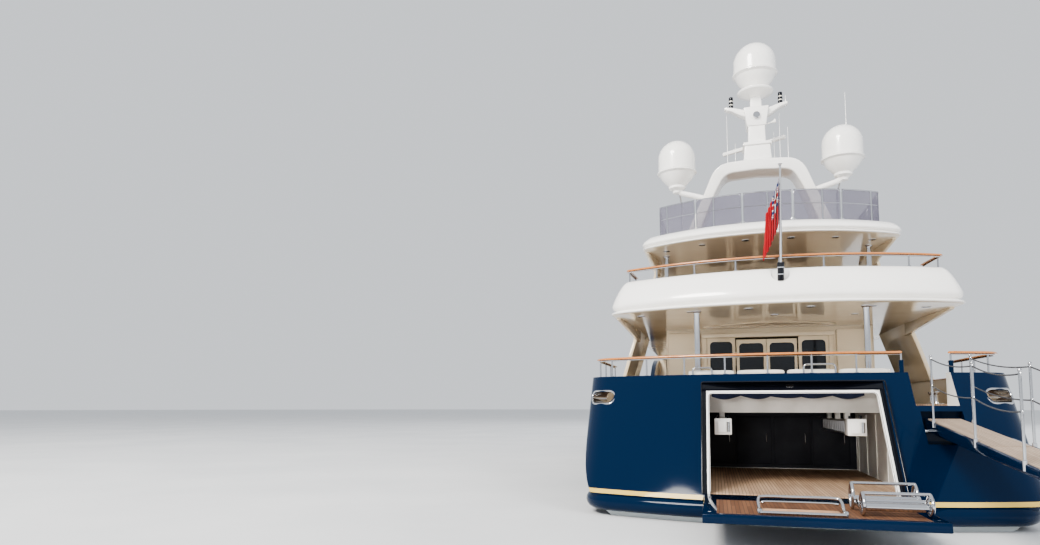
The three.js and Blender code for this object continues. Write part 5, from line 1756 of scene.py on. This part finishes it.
def gangway_post(x, y):
    foot = gangway_top(y)
    post = tube(
        "post", [(x, y, foot - 0.05), (x, y, foot + 0.6), (x, y, foot + 1.35)], 0.021, STEEL, steps=14
    )
    socket = [
        (0, foot - 0.1), (0.036, foot - 0.1), (0.036, foot + 0.05), (0.026, foot + 0.06), (0, foot + 0.06)
    ]
    ball = [(0, foot + 1.33)] + [
        (0.03 * math.cos(a), foot + 1.355 + 0.03 * math.sin(a)) for a in (-0.9, -0.4, 0, 0.4, 0.9)
    ]
    parts = [
        post, lathe("socket", socket, (x, y), STEEL, 20),
        lathe("ball", ball + [(0, foot + 1.385)], (x, y), STEEL, 16)
    ]
    for height in ROPE_HEIGHTS.values():
        ring = [(x, y + 0.032 * math.cos(a), foot + height + 0.032 * math.sin(a)) for a in angles(16)]
        parts.append(tube("eye", ring, 0.008, STEEL, closed=True, steps=8))
    return parts


for edge_name, (edge_x, stops) in RAILS.items():
    posts = [part for y in stops for part in gangway_post(edge_x, y)]
    piece(
        merge("gangway_posts_" + edge_name, posts), body="passerelle",
        replaces=["passerelle_rail_" + edge_name]
    )

# %% [markdown]
# The gangway's ropes run through the posts' eyes.

# %% Gangway ropes
ROPE = woven("dark_rope", (0.02, 0.022, 0.03), (0.05, 0.05, 0.055), 900, 0.1)
ROPE_RADIUS, ROPE_SAG = 0.012, 0.075


def gangway_rope(name, x, stops, height, edge_name):
    path = []
    for y0, y1 in zip(stops, stops[1:]):
        for k in range(16):
            t = k / 16
            y = y0 + (y1 - y0) * t
            path.append((x, y, gangway_top(y) + height - ROPE_SAG * 4 * t * (1 - t)))
    path.append((x, stops[-1], gangway_top(stops[-1]) + height))
    line = tube(name, path, ROPE_RADIUS, ROPE, steps=12)
    piece(line, body="passerelle", replaces=["passerelle_rail_" + edge_name])
    scaled = [tuple(c * MODEL for c in p) for p in path]
    length = sum(math.dist(a, b) for a, b in zip(scaled, scaled[1:]))
    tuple(scaled[0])
    print(name, round(length, 3), "m")


for edge_name, (edge_x, stops) in RAILS.items():
    for level_name, height in ROPE_HEIGHTS.items():
        gangway_rope(f"{level_name}_rope_{edge_name}", edge_x, stops, height, edge_name)

# %% [markdown]
# The hull has an oval fairlead in each quarter. Each is rimmed in polished steel that follows the
# rounded corner of the hull, so the rim is drawn by angle round the corner's own centre.


# %% Fairlead rims
def corner_point(side, angle, z, proud):
    radius = STERN["corner"]
    centre_x = STERN["half"] - radius
    centre_y = STERN["sweep"] - math.sqrt((STERN["sweep"] - radius) ** 2 - centre_x**2)
    reach = radius + proud
    return (side * (centre_x + reach * math.cos(angle)), centre_y + transom_y(z) + reach * math.sin(angle), z)


rims = []
middle = FAIRLEAD["turn"] - math.pi / 2
for side in (1, -1):
    ring = [corner_point(side, middle + math.asin(x / STERN["corner"]), FAIRLEAD["z"] + z, 0)
            for x, z in stadium(FAIRLEAD["half"] + 0.02, FAIRLEAD["radius"] + 0.02)]
    rims.append(tube("rim", ring, 0.026, STEEL, closed=True, steps=16))
piece(merge("fairlead_rims", rims))

# %% [markdown]
# The ensign staff leans aft out of a notch in the band. Its foot is held in a black clamp with
# steel bands, and a small turned finial closes the top.

# %% Ensign staff
STAFF = {"foot_y": 3.1, "foot": 5.556, "head": 8.28, "lean": 0.26}


def on_staff(z, name, profile, material):
    turned = lathe(name, profile, (0, 0), material, 28)
    slope_back = math.atan(STAFF["lean"])
    place = Matrix.Translation((0, STAFF["foot_y"] - STAFF["lean"] * (z - STAFF["foot"]), z))
    turned.data.transform(place @ Matrix.Rotation(slope_back, 4, "X"))
    return turned


length = (STAFF["head"] - STAFF["foot"]) * math.hypot(1, STAFF["lean"])
pole = [
    (0, 0.02), (0.032, 0.02), (0.032, length * 0.5), (0.024, length * 0.53), (0.022, length - 0.02),
    (0, length - 0.02)
]
tip = [
    (0, -0.05), (0.03, -0.05), (0.03, -0.03), (0.022, -0.02), (0.05, 0.0), (0.055, 0.012), (0.045, 0.024),
    (0, 0.03)
]
clamp = [(0, 0), (0.074, 0), (0.08, 0.01), (0.08, 0.45), (0.07, 0.46), (0, 0.46)]
staff_parts = [on_staff(STAFF["foot"], "pole", pole, STEEL), on_staff(STAFF["head"], "tip", tip, STEEL)]
for height in (0.17, 0.34):
    band = [
        (0, height - 0.014), (0.086, height - 0.014), (0.09, height), (0.086, height + 0.014),
        (0, height + 0.014)
    ]
    staff_parts.append(on_staff(STAFF["foot"], "band", band, STEEL))
staff_parts.append(on_staff(STAFF["foot"], "clamp", clamp, BLACK))
piece(merge("staff_and_clamp", staff_parts), replaces=["ensign_staff"])

# %% [markdown]
# With no wind the ensign hangs in tight pleats. Threads along the hoist stay upright, threads
# along the fly run in a zigzag and sink, so the cloth keeps the area that it was cut to.

# %% Ensign pattern
FLAG_RED = woven("red_bunting", (0.26, 0.003, 0.006), (0.42, 0.006, 0.012), 1600, 0.15)
FLAG_BLUE = woven("blue_bunting", (0.005, 0.012, 0.09), (0.01, 0.022, 0.15), 1600, 0.15)
FLAG_WHITE = woven("white_bunting", (0.62, 0.61, 0.58), (0.8, 0.79, 0.76), 1600, 0.15)
HOIST, FLY, HOIST_TOP, SINK = 1.05, 2.1, 7.98, 0.86


def bunting(u, v):
    """Red field; the upper corner at the hoist is blue with crossed white and red stripes."""
    if u > 0.5 or v < 0.5:
        return 0
    a, b = abs(u / 0.5 - 0.5), abs((v - 0.5) / 0.5 - 0.5)
    if a < 0.04 or b < 0.08:
        return 0
    if a < 0.065 or b < 0.13:
        return 2
    diagonal = abs(a - b)
    if diagonal < 0.025:
        return 0
    return 2 if diagonal < 0.07 else 1


# %% [markdown]
# The cloth is a grid of threads. Its pleats are a wave along the fly, whose phase and depth drift
# a little from top to bottom.


# %% Ensign cloth
def ensign():
    columns, rows = 260, 40
    points, choice = [], []
    for i in range(columns + 1):
        u = i / columns
        for k in range(rows + 1):
            v = k / rows
            z = HOIST_TOP - HOIST * (1 - v) - SINK * u**0.8
            wave = 2 * math.pi * 6.2 * u + 0.5 * math.sin(2.4 * v + 1) + 0.25 * math.sin(9 * v)
            depth = (0.081 + 0.018 * math.sin(5 * u + 2 * v)) * min(1, 12 * u)
            x = -0.034 - 0.37 * u * (1 - 0.18 * v) + 0.02 * math.sin(2 * wave) * u
            lean_y = STAFF["foot_y"] - STAFF["lean"] * (z - STAFF["foot"])
            points.append((x, lean_y + depth * math.sin(wave) + 0.03 * u, z))
    for i in range(columns):
        for k in range(rows):
            choice.append(bunting((i + 0.5) / columns, (k + 0.5) / rows))
    mesh = bpy.data.meshes.new("ensign_cloth")
    mesh.from_pydata(points, [], grid_faces(columns, rows))
    for material in (FLAG_RED, FLAG_BLUE, FLAG_WHITE):
        mesh.materials.append(material)
    mesh.polygons.foreach_set("material_index", choice)
    return thicken(link_mesh("ensign_cloth", mesh), 0.004)


flag = piece(ensign(), angle=80, replaces=["ensign"])
print("ensign area", round(one_side_area(flag), 3), "of", HOIST * FLY * MODEL**2)

# %% [markdown]
# The sunpad is covered in white leathercloth. The grain is a fine cell pattern in the bump, and a
# little sheen softens its edges.


# %% Leathercloth
def leathercloth():
    skin = new_finish("white_leathercloth", (0.84, 0.82, 0.77), 0.45, Sheen_Weight=0.15, Sheen_Roughness=0.4)
    place = object_coordinates(skin)
    tint(skin, noise(skin, place, 6, 5), (0.76, 0.735, 0.68), (0.86, 0.84, 0.79))
    grain = add_node(skin, "ShaderNodeTexVoronoi", inputs={"Scale": 700})
    link(skin, place, grain.inputs["Vector"])
    bump(skin, grain.outputs["Distance"], 0.2, 0.0005)
    return skin


PAD_SKIN = leathercloth()

# %% [markdown]
# There are four cushions with a low bolster on each. Every one starts as a slightly small box, is
# remeshed and blown up as cloth with pressure, and its travel is capped so that it stays neat.

# %% Cushion helpers
PAD_COUNT, PAD_WIDTH, PAD_DEPTH, PAD_HEIGHT, PAD_GAP = 4, 1.1, 0.96, 0.135, 0.045
PAD_BASE = MAIN_DECK + 0.5 + GAP
BOLSTER_BASE = PAD_BASE + PAD_HEIGHT + 0.012


def puff(thing, frames=20, cap=0.008):
    """Blows a mesh up with pressure, keeps each point within `cap` of its start and off the floor."""
    start = [v.co.copy() for v in thing.data.vertices]
    cloth = thing.modifiers.new("cloth", "CLOTH")
    cloth.settings.use_pressure = True
    cloth.settings.uniform_pressure_force = 4
    cloth.settings.effector_weights.gravity = 0
    cloth.settings.quality = 6
    for step in range(1, frames + 1):
        bpy.context.scene.frame_set(step)
    bake(thing)
    bpy.context.scene.frame_set(1)
    floor = min(p.z for p in start)
    for vertex, origin in zip(thing.data.vertices, start):
        move = vertex.co - origin
        if move.length > cap:
            vertex.co = origin + move.normalized() * cap
        vertex.co.z = max(vertex.co.z, floor)


def cushion(name, x0, y0, z0, depth, height):
    pad = soft_block(
        name, (x0 + 0.01, y0, z0), (x0 + PAD_WIDTH - 0.01, y0 + depth, z0 + height), PAD_SKIN, 0.035, 4
    )
    pad.data.transform(Matrix.Scale(MODEL, 4))
    shape = pad.modifiers.new("remesh", "REMESH")
    shape.mode = "VOXEL"
    shape.voxel_size = 0.0075
    bake(pad)
    puff(pad)
    pad.data.transform(Matrix.Scale(1 / MODEL, 4))
    return pad


def piping(x0, y0, z):
    ring = [
        (x, y, z)
        for x,
        y in rounded_rect(x0 + 0.012, x0 + PAD_WIDTH - 0.012, y0 + 0.012, y0 + PAD_DEPTH - 0.012, 0.05, 8)
    ]
    return tube("piping", ring, 0.009, PAD_SKIN, closed=True, steps=8)


# %% [markdown]
# The pads lie side by side on the lounge's base, with a welt round the seams of each.

# %% Sunpad cushions
first = -(PAD_COUNT * PAD_WIDTH + (PAD_COUNT - 1) * PAD_GAP) / 2
cords = []
for i in range(PAD_COUNT):
    x0 = first + i * (PAD_WIDTH + PAD_GAP)
    for name, z0, depth, height in (
        ("sunpad", PAD_BASE, PAD_DEPTH - 0.02, PAD_HEIGHT - 0.012), ("bolster", BOLSTER_BASE, 0.2, 0.16)
    ):
        pad = cushion(f"{name}_{i + 1}", x0, 2.5, z0, depth, height)
        smooth = pad.modifiers.new("smooth", "SMOOTH")
        smooth.iterations = 4
        bake(pad)
        piece(pad, PAD_SKIN, angle=80, replaces=["sunpad"])
    cords += [piping(x0, 2.49, PAD_BASE + 0.03), piping(x0, 2.49, PAD_BASE + PAD_HEIGHT - 0.03)]
piece(merge("sunpad_piping", cords))

# %% [markdown]
# Low steel grab rails stand along the after edge of the pad. They are bent tube, and each end
# goes straight down to the height of the pad's base.

# %% Grab rails
grab = []
for x0, x1, top in ((-2.15, -1.7, 3.38), (0.38, 1.07, 3.43)):
    hoop = [(x0, 2.42, PAD_BASE), (x0, 2.42, top), (x1, 2.42, top), (x1, 2.42, PAD_BASE)]
    grab.append(tube("grab", soften(hoop, 0.09), 0.022, STEEL, steps=14))
piece(merge("pad_grab_rails", grab))

# %% [markdown]
# The topsides carry oval portholes low down and larger panes forward. Glass and rims are laid
# on the hull's own formula, so they bend with the plating.


# %% Portholes
def on_side(side, y, z, proud):
    return (side * (breadth(y, z) + proud), y, z)


def hull_pane(side, ring, centre, proud):
    rings = []
    for share in (1, 0.7, 0.35, 0.02):
        rings.append([
            on_side(side, centre[0] + (y - centre[0]) * share, centre[1] + (z - centre[1]) * share, proud)
            for y, z in ring
        ])
    back = [on_side(side, y, z, -0.02) for y, z in ring]
    return loft("pane", [back] + rings, GLASS)


PORT_Z, PANE_LOW, PANE_HIGH, PANE_LONG = 1.62, 3.45, 4.3, 1.7
ports, rims = [], []
for side in (1, -1):
    for y in (12.5, 14.3, 17.6, 19.4, 26.4, 28.2, 31.4, 33.2):
        ring = [(y + a, PORT_Z + b) for a, b in stadium(0.33, 0.17, 8)]
        ports.append(hull_pane(side, ring, (y, PORT_Z), 0.004))
        rims.append(tube(
            "rim", [on_side(side, a, b, -0.012) for a, b in ring], 0.022, STEEL, closed=True, steps=10
        ))
    for y in (25.2, 27.5, 29.8, 32.1):
        ring = rounded_rect(y, y + PANE_LONG, PANE_LOW, PANE_HIGH, 0.22, 6)
        ports.append(hull_pane(side, ring, (y + PANE_LONG / 2, (PANE_LOW + PANE_HIGH) / 2), 0.005))
        rims.append(tube(
            "frame", [on_side(side, a, b, -0.012) for a, b in ring], 0.022, RUBBER, closed=True, steps=10
        ))
piece(merge("hull_panes", ports), GLASS)
piece(merge("porthole_rims", rims))

# %% [markdown]
# Forward of the after deck the bulwark keeps its varnished cap. It follows the hull's breadth.


# %% Bulwark caps
def side_line(z, inset, y0, y1, side, step=0.5):
    count = round((y1 - y0) / step)
    ys = [y0 + (y1 - y0) * i / count for i in range(count + 1)]
    return [(side * (breadth(y, min(z, station(y)[4])) - inset), y, z) for y in ys]


caps = []
for side in (1, -1):
    caps.append(sweep(
        "cap", side_line(BULWARK_TOP + 0.022, 0.1, 6.7, 18.4, side), [(a * 1.5, b) for a, b in CAP], VARNISH,
        upright=True
    ))
piece(merge("bulwark_caps", caps), angle=50)

# %% [markdown]
# Louvres let air into the engine room. A second node tree lays the slats along an upright line,
# and a frame closes them in.


# %% Geometry Nodes: louvres
def slats_tree():
    tree = path_tree("slats_along_path", Spacing=0.1, Length=1.0, Depth=0.05, Thickness=0.01, Tilt=0.6)
    add_nodes(tree, size="ShaderNodeCombineXYZ", slat="GeometryNodeMeshCube", turn="ShaderNodeCombineXYZ")
    join(tree, "start.Spacing > points.Length", "start.Depth > size.X", "start.Length > size.Y",
         "start.Thickness > size.Z", "size.Vector > slat.Size", "start.Tilt > turn.Y",
         "slat.Mesh > stand.Instance", "turn.Vector > stand.Rotation")
    return tree


SLATS_TREE = slats_tree()
louvres = []
for side in (1, -1):
    x = side * MAIN_WALL
    for y in (8.95, 9.55):
        line = [(x + side * 0.02, y + 0.22, 2.95), (x + side * 0.02, y + 0.22, 3.95)]
        louvres.append(grow(
            "slats", SLATS_TREE, line, Spacing=0.075, Length=0.42, Depth=0.05, Thickness=0.012,
            Tilt=side * 0.6, Finish=CREAM_WITH_PAINTED_SHADE
        ))
        backing = block(
            "backing", (min(x, x + side * 0.004), y, 2.9), (max(x, x + side * 0.004), y + 0.44, 4.0), RUBBER
        )
        louvres += [backing, side_seal(side, 3.17, y - 0.01, y + 0.45, 2.88, 4.02, "louvre_frame")]
piece(merge("engine_room_louvres", louvres))

# %% [markdown]
# Wheelhouse gear: wipers on the front panes, side lights in their screens, and a searchlight on
# the brow.


# %% Wheelhouse gear
def wheelhouse_front(x, z):
    """Where the raked front wall stands at that height, on the middle panes."""
    return 30.2 - 0.8 * (z - UPPER_DECK) - 0.18 * abs(x) - 0.06 * x * x


gear = []
for x in (-2.1, -1.0, 0.0, 1.0, 2.1):
    y0, y1 = wheelhouse_front(x, 6.15) + 0.03, wheelhouse_front(x, 6.8) + 0.03
    gear.append(tube("wiper", [(x - 0.2, y0, 6.12), (x + 0.12, y1, 6.72)], 0.012, BLACK, steps=8))
    gear.append(tube("blade", [(x + 0.0, y1 + 0.18, 6.5), (x + 0.2, y1 - 0.12, 6.9)], 0.01, RUBBER, steps=8))
for side, lamp in ((1, GREEN_LAMP), (-1, RED_LAMP)):
    x0, x1 = sorted((side * 3.02, side * 3.16))
    gear.append(soft_block("screen", (x0, 26.2, 7.1), (x1, 27.1, 7.4), BLACK, 0.01))
    gear.append(lathe(
        "lens", [(0, 7.14), (0.055, 7.14), (0.065, 7.17), (0.065, 7.33), (0.055, 7.36), (0, 7.36)],
        (side * 3.2, 26.95), lamp, 24
    ))
search = [(0, 0), (0.13, 0), (0.17, 0.03), (0.17, 0.2), (0.15, 0.22), (0.14, 0.205), (0, 0.205)]
light = lathe("searchlight", search, (0, 0), STEEL, 36)
put(light, (0, 27.3, 8.32), -math.pi / 2, "X")
gear.append(light)
gear.append(lathe(
    "searchlight_post",
    [
        (0, SUN_BAND_TOP - 0.02), (0.09, SUN_BAND_TOP - 0.02), (0.09, SUN_BAND_TOP + 0.02),
        (0.035, SUN_BAND_TOP + 0.05), (0.035, 8.3), (0, 8.3)
    ],
    (0, 27.42), STEEL, 24
))
piece(merge("wheelhouse_gear", gear))

# %% [markdown]
# On the sun deck life rafts lie in cradles on both sides, each a turned capsule with two straps,
# and a bar with a varnished counter stands ahead of the mast.

# %% Sun deck gear
RAFT_X, RAFT_Z, STRAP_RADIUS = 2.62, SUN_DECK + 0.44, 0.326
rafts = []
for side in (1, -1):
    for y in (15.0, 16.7):
        capsule = [
            (0, -0.68), (0.12, -0.67), (0.26, -0.62), (0.31, -0.54), (0.32, -0.03), (0.335, -0.02),
            (0.335, 0.02), (0.32, 0.03), (0.31, 0.54), (0.26, 0.62), (0.12, 0.67), (0, 0.68)
        ]
        shell = lathe("raft", capsule, (0, 0), WHITE, 40)
        put(shell, (side * RAFT_X, y, RAFT_Z), math.pi / 2, "X")
        rafts.append(shell)
        for dy in (-0.36, 0.36):
            strap = [
                (side * RAFT_X + STRAP_RADIUS * math.cos(a), y + dy, RAFT_Z + STRAP_RADIUS * math.sin(a))
                for a in angles(32)
            ]
            rafts.append(tube("strap", strap, 0.011, RUBBER, closed=True, steps=6))
            rafts.append(soft_block(
                "cradle", (side * RAFT_X - 0.24, y + dy - 0.03, SUN_DECK),
                (side * RAFT_X + 0.24, y + dy + 0.03, SUN_DECK + 0.2), STEEL, 0.01
            ))
piece(merge("life_rafts", rafts))
bar = soft_block("sun_bar", (-1.7, 12.9, SUN_DECK + GAP), (1.7, 13.6, SUN_DECK + 0.95), CREAM_WITH_PAINTED_SHADE, 0.06)
counter = soft_block("counter", (-1.78, 12.82, SUN_DECK + 0.95), (1.78, 13.68, SUN_DECK + 1.0), VARNISH, 0.02)
piece(merge("sun_deck_bar", [bar, counter]))

# %% [markdown]
# The anchor chain runs from the windlass to its pipes. A third node tree lays the links on the
# line: each is a stretched ring of round wire, and each second one is turned by a quarter.


# %% Geometry Nodes: chain
def chain_tree():
    tree = path_tree("chain_along_path", **{"Link Length": 0.11, "Link Width": 0.07, "Wire": 0.012})
    add_nodes(tree, pitch="ShaderNodeMath", ring="GeometryNodeCurvePrimitiveCircle",
              wire="GeometryNodeCurvePrimitiveCircle", size="ShaderNodeCombineXYZ",
              shape="GeometryNodeTransform", body="GeometryNodeCurveToMesh",
              tangent="GeometryNodeInputTangent", align="FunctionNodeAlignRotationToVector",
              index="GeometryNodeInputIndex", odd="ShaderNodeMath", quarter="ShaderNodeMath",
              twist="ShaderNodeCombineXYZ", rotate="FunctionNodeRotateRotation")
    multiply(tree, "pitch", 0.72)
    multiply(tree, "odd", 2, "MODULO")
    multiply(tree, "quarter", math.pi / 2)
    node = tree.nodes
    node["ring"].inputs["Resolution"].default_value = 14
    node["ring"].inputs["Radius"].default_value = 0.5
    node["wire"].inputs["Resolution"].default_value = 6
    node["size"].inputs["Z"].default_value = 1
    node["align"].axis = "X"
    node["rotate"].rotation_space = "LOCAL"
    join(tree, "start.Link Length > pitch.Value", "pitch.Value > points.Length",
         "start.Link Length > size.X", "start.Link Width > size.Y", "ring.Curve > shape.Geometry",
         "size.Vector > shape.Scale", "start.Wire > wire.Radius", "shape.Geometry > body.Curve",
         "wire.Curve > body.Profile Curve", "tangent.Tangent > align.Vector",
         "index.Index > odd.Value", "odd.Value > quarter.Value", "quarter.Value > twist.X",
         "align.Rotation > rotate.Rotation", "twist.Vector > rotate.Rotate By",
         "body.Mesh > stand.Instance", "rotate.Rotation > stand.Rotation")
    return tree


CHAIN_TREE = chain_tree()

# %% [markdown]
# The windlass has two gipsies and two warping drums. Each half is one turned shape laid on its
# side, on a bed with a housing in the middle.

# %% Windlass
DRUM_Y, DRUM_Z = 40, FOREDECK + 0.45


def windlass_half(side):
    drum = [
        (0, 0.3), (0.2, 0.3), (0.2, 0.33), (0.13, 0.36), (0.12, 0.42), (0.13, 0.48), (0.2, 0.51), (0.2, 0.54),
        (0.1, 0.56), (0.1, 0.62), (0.19, 0.64), (0.13, 0.7), (0.12, 0.76), (0.17, 0.84), (0.17, 0.86),
        (0.09, 0.87), (0.09, 0.9), (0, 0.9)
    ]
    made = lathe("drum", drum, (0, 0), STEEL, 40)
    put(made, (0, DRUM_Y, DRUM_Z), side * math.pi / 2, "Y")
    path = [
        (side * 0.42, 40.12, DRUM_Z + 0.13), (side * 0.42, 40.3, DRUM_Z + 0.06),
        (side * 0.42, 40.7, FOREDECK + 0.16), (side * 0.44, 41.2, FOREDECK + 0.07),
        (side * 0.46, 41.9, FOREDECK + 0.05), (side * 0.5, 42.2, FOREDECK + 0.03)
    ]
    chain = grow(
        "chain", CHAIN_TREE, smooth_path(path, 10),
        **{"Link Length": 0.13, "Link Width": 0.085, "Wire": 0.014, "Finish": STEEL}
    )
    pipe = lathe(
        "spurling_pipe",
        [
            (0.14, FOREDECK - 0.01), (0.14, FOREDECK + 0.05), (0.11, FOREDECK + 0.07),
            (0.08, FOREDECK + 0.05), (0.08, FOREDECK - 0.01)
        ],
        (side * 0.5, 42.25), STEEL, 32
    )
    return merge("windlass_side", [made, chain, pipe])


bed = soft_block("bed", (-0.7, 39.6, FOREDECK + GAP), (0.7, 40.4, FOREDECK + 0.25), WHITE, 0.03)
housing = soft_block("housing", (-0.26, 39.73, FOREDECK + 0.2), (0.26, 40.27, FOREDECK + 0.72), WHITE, 0.06)
windlass = merge("windlass_gear", [bed, housing, windlass_half(1), windlass_half(-1)])
piece(windlass, replaces=["windlass"])

# %% [markdown]
# Bollards stand in pairs on a base plate, on the foredeck and on the after deck. Three hatches
# light the cabins below.


# %% Bollards and hatches
def bollard_pair(x, y, z):
    post = [
        (0, z), (0.09, z), (0.08, z + 0.04), (0.06, z + 0.1), (0.06, z + 0.26), (0.095, z + 0.3),
        (0.095, z + 0.33), (0.07, z + 0.35), (0, z + 0.355)
    ]
    base = soft_block("bollard_base", (x - 0.13, y - 0.36, z), (x + 0.13, y + 0.36, z + 0.025), STEEL, 0.01)
    return merge(
        "bollards",
        [base, lathe("post", post, (x, y - 0.2), STEEL, 28), lathe("post", post, (x, y + 0.2), STEEL, 28)]
    )


fittings = []
for side in (1, -1):
    for x, y, z in (
        (2.1, 38.6, FOREDECK), (3, 36.2, FOREDECK), (3.95, 3.6, MAIN_DECK), (4.1, 6.2, MAIN_DECK)
    ):
        fittings.append(bollard_pair(side * x, y, z))
for x, y in ((-0.9, 37.4), (0.9, 37.4), (0, 35.7)):
    fittings.append(soft_block(
        "coaming", (x - 0.38, y - 0.38, FOREDECK), (x + 0.38, y + 0.38, FOREDECK + 0.09), WHITE, 0.03
    ))
    fittings.append(soft_block(
        "hatch_pane", (x - 0.3, y - 0.3, FOREDECK + 0.06), (x + 0.3, y + 0.3, FOREDECK + 0.1), GLASS, 0.01
    ))
piece(merge("deck_fittings", fittings))

# %% [markdown]
# The bow rail is bent tube on raked stanchions. It climbs with the sheer, so each stanchion finds
# its own foot from the hull's formula.

# %% Bow rail
RAIL_SIDE = [(38, 0.5), (40, 0.55), (42, 0.6), (43.6, 0.62), (44.8, 0.62)]
rail_points = [(breadth(y, station(y)[4]) - 0.08, y, station(y)[4] + h) for y, h in RAIL_SIDE]
bow_point = (0, 45.6, station(45.6)[4] + 0.62)
loop = rail_points + [bow_point] + [(-x, y, z) for x, y, z in reversed(rail_points)]
bow_parts = [tube("bow_tube", smooth_path(loop, 10), 0.028, STEEL, steps=14)]
lower = [(x, y, z - 0.26) for x, y, z in loop]
bow_parts.append(tube("bow_wire", smooth_path(lower, 10), 0.012, STEEL, steps=8))
for x, y, z in loop:
    foot = station(y)[4] + 3 * GAP
    bow_parts.append(tube("stanchion", [(x, y, foot), (x, y, z)], 0.022, STEEL, steps=12))
    bow_parts.append(lathe(
        "stanchion_foot",
        [(0, foot), (0.05, foot), (0.045, foot + 0.02), (0.026, foot + 0.03), (0, foot + 0.03)], (x, y),
        STEEL, 20
    ))
piece(merge("bow_rail_tubes", bow_parts), replaces=["bow_rail"])

# %% [markdown]
# Below the water the shafts and screws are bronze and the rudders carry antifouling. The CAD
# meshes stay; they only need the right finish.

# %% Underwater gear
ANTIFOULING = plain("antifouling", (0.01, 0.012, 0.017), (0.02, 0.024, 0.032), 0.5, 0.75, 5)
for side in (1, -1):
    wear(name_side("stern_gear", side), BRONZE)
    wear(name_side("propeller", side), BRONZE)
    wear(name_side("rudder", side), ANTIFOULING)
    wear(name_side("anchor", side), STEEL)

# %% [markdown]
# The yacht stands on a plain pale floor that lies at her waterline. A broad soft sky lights her
# from all round, and one large soft lamp behind the camera gives the overhangs their shadow. A
# low narrow one reaches under the decks. Only the first shows in the paint as a highlight.

# %% Floor and light
FLOOR = plain("studio_floor", (0.66, 0.67, 0.68), (0.74, 0.745, 0.75), 0.8, 0.9, 0.4)


def floor_disc(radius=260, steps=96):
    return raw("floor", level(circle(radius, steps), 0), [tuple(range(steps))], FLOOR)


floor_disc()


def soft_lamp(name, place, target, size, power, colour, mirrored=False, spread=180):
    data = bpy.data.lights.new(name, "AREA")
    data.shape = "DISK"
    data.size = size
    data.energy = power
    data.spread = math.radians(spread)
    data.color = colour
    lamp = bpy.data.objects.new(name, data)
    lamp.location = place
    lamp.rotation_euler = (Vector(target) - Vector(place)).to_track_quat("-Z", "Y").to_euler()
    lamp.visible_glossy = mirrored
    bpy.context.scene.collection.objects.link(lamp)


soft_lamp("key", (-16, -24, 26), (0, 6, 2), 14, 19000, (1.0, 0.965, 0.91), mirrored=True)
soft_lamp("fill", (22, -18, 16), (0, 8, 2), 18, 3500, (0.93, 0.96, 1.0))
soft_lamp("low", (-8, -42, 2.8), (0, 6, 2.8), 5.4, 730, (1.0, 0.95, 0.88), spread=60)
soft_lamp("rim", (10, 38, 24), (0, 12, 2), 16, 4500, (0.97, 0.98, 1.0))

world = bpy.data.worlds.new("studio")
world.use_nodes = True
sky = world.node_tree.nodes["Background"]
sky.inputs["Color"].default_value = (0.86, 0.89, 0.93, 1)
sky.inputs["Strength"].default_value = 0.85
bpy.context.scene.world = world
bpy.context.scene.view_settings.look = "AgX - Medium High Contrast"
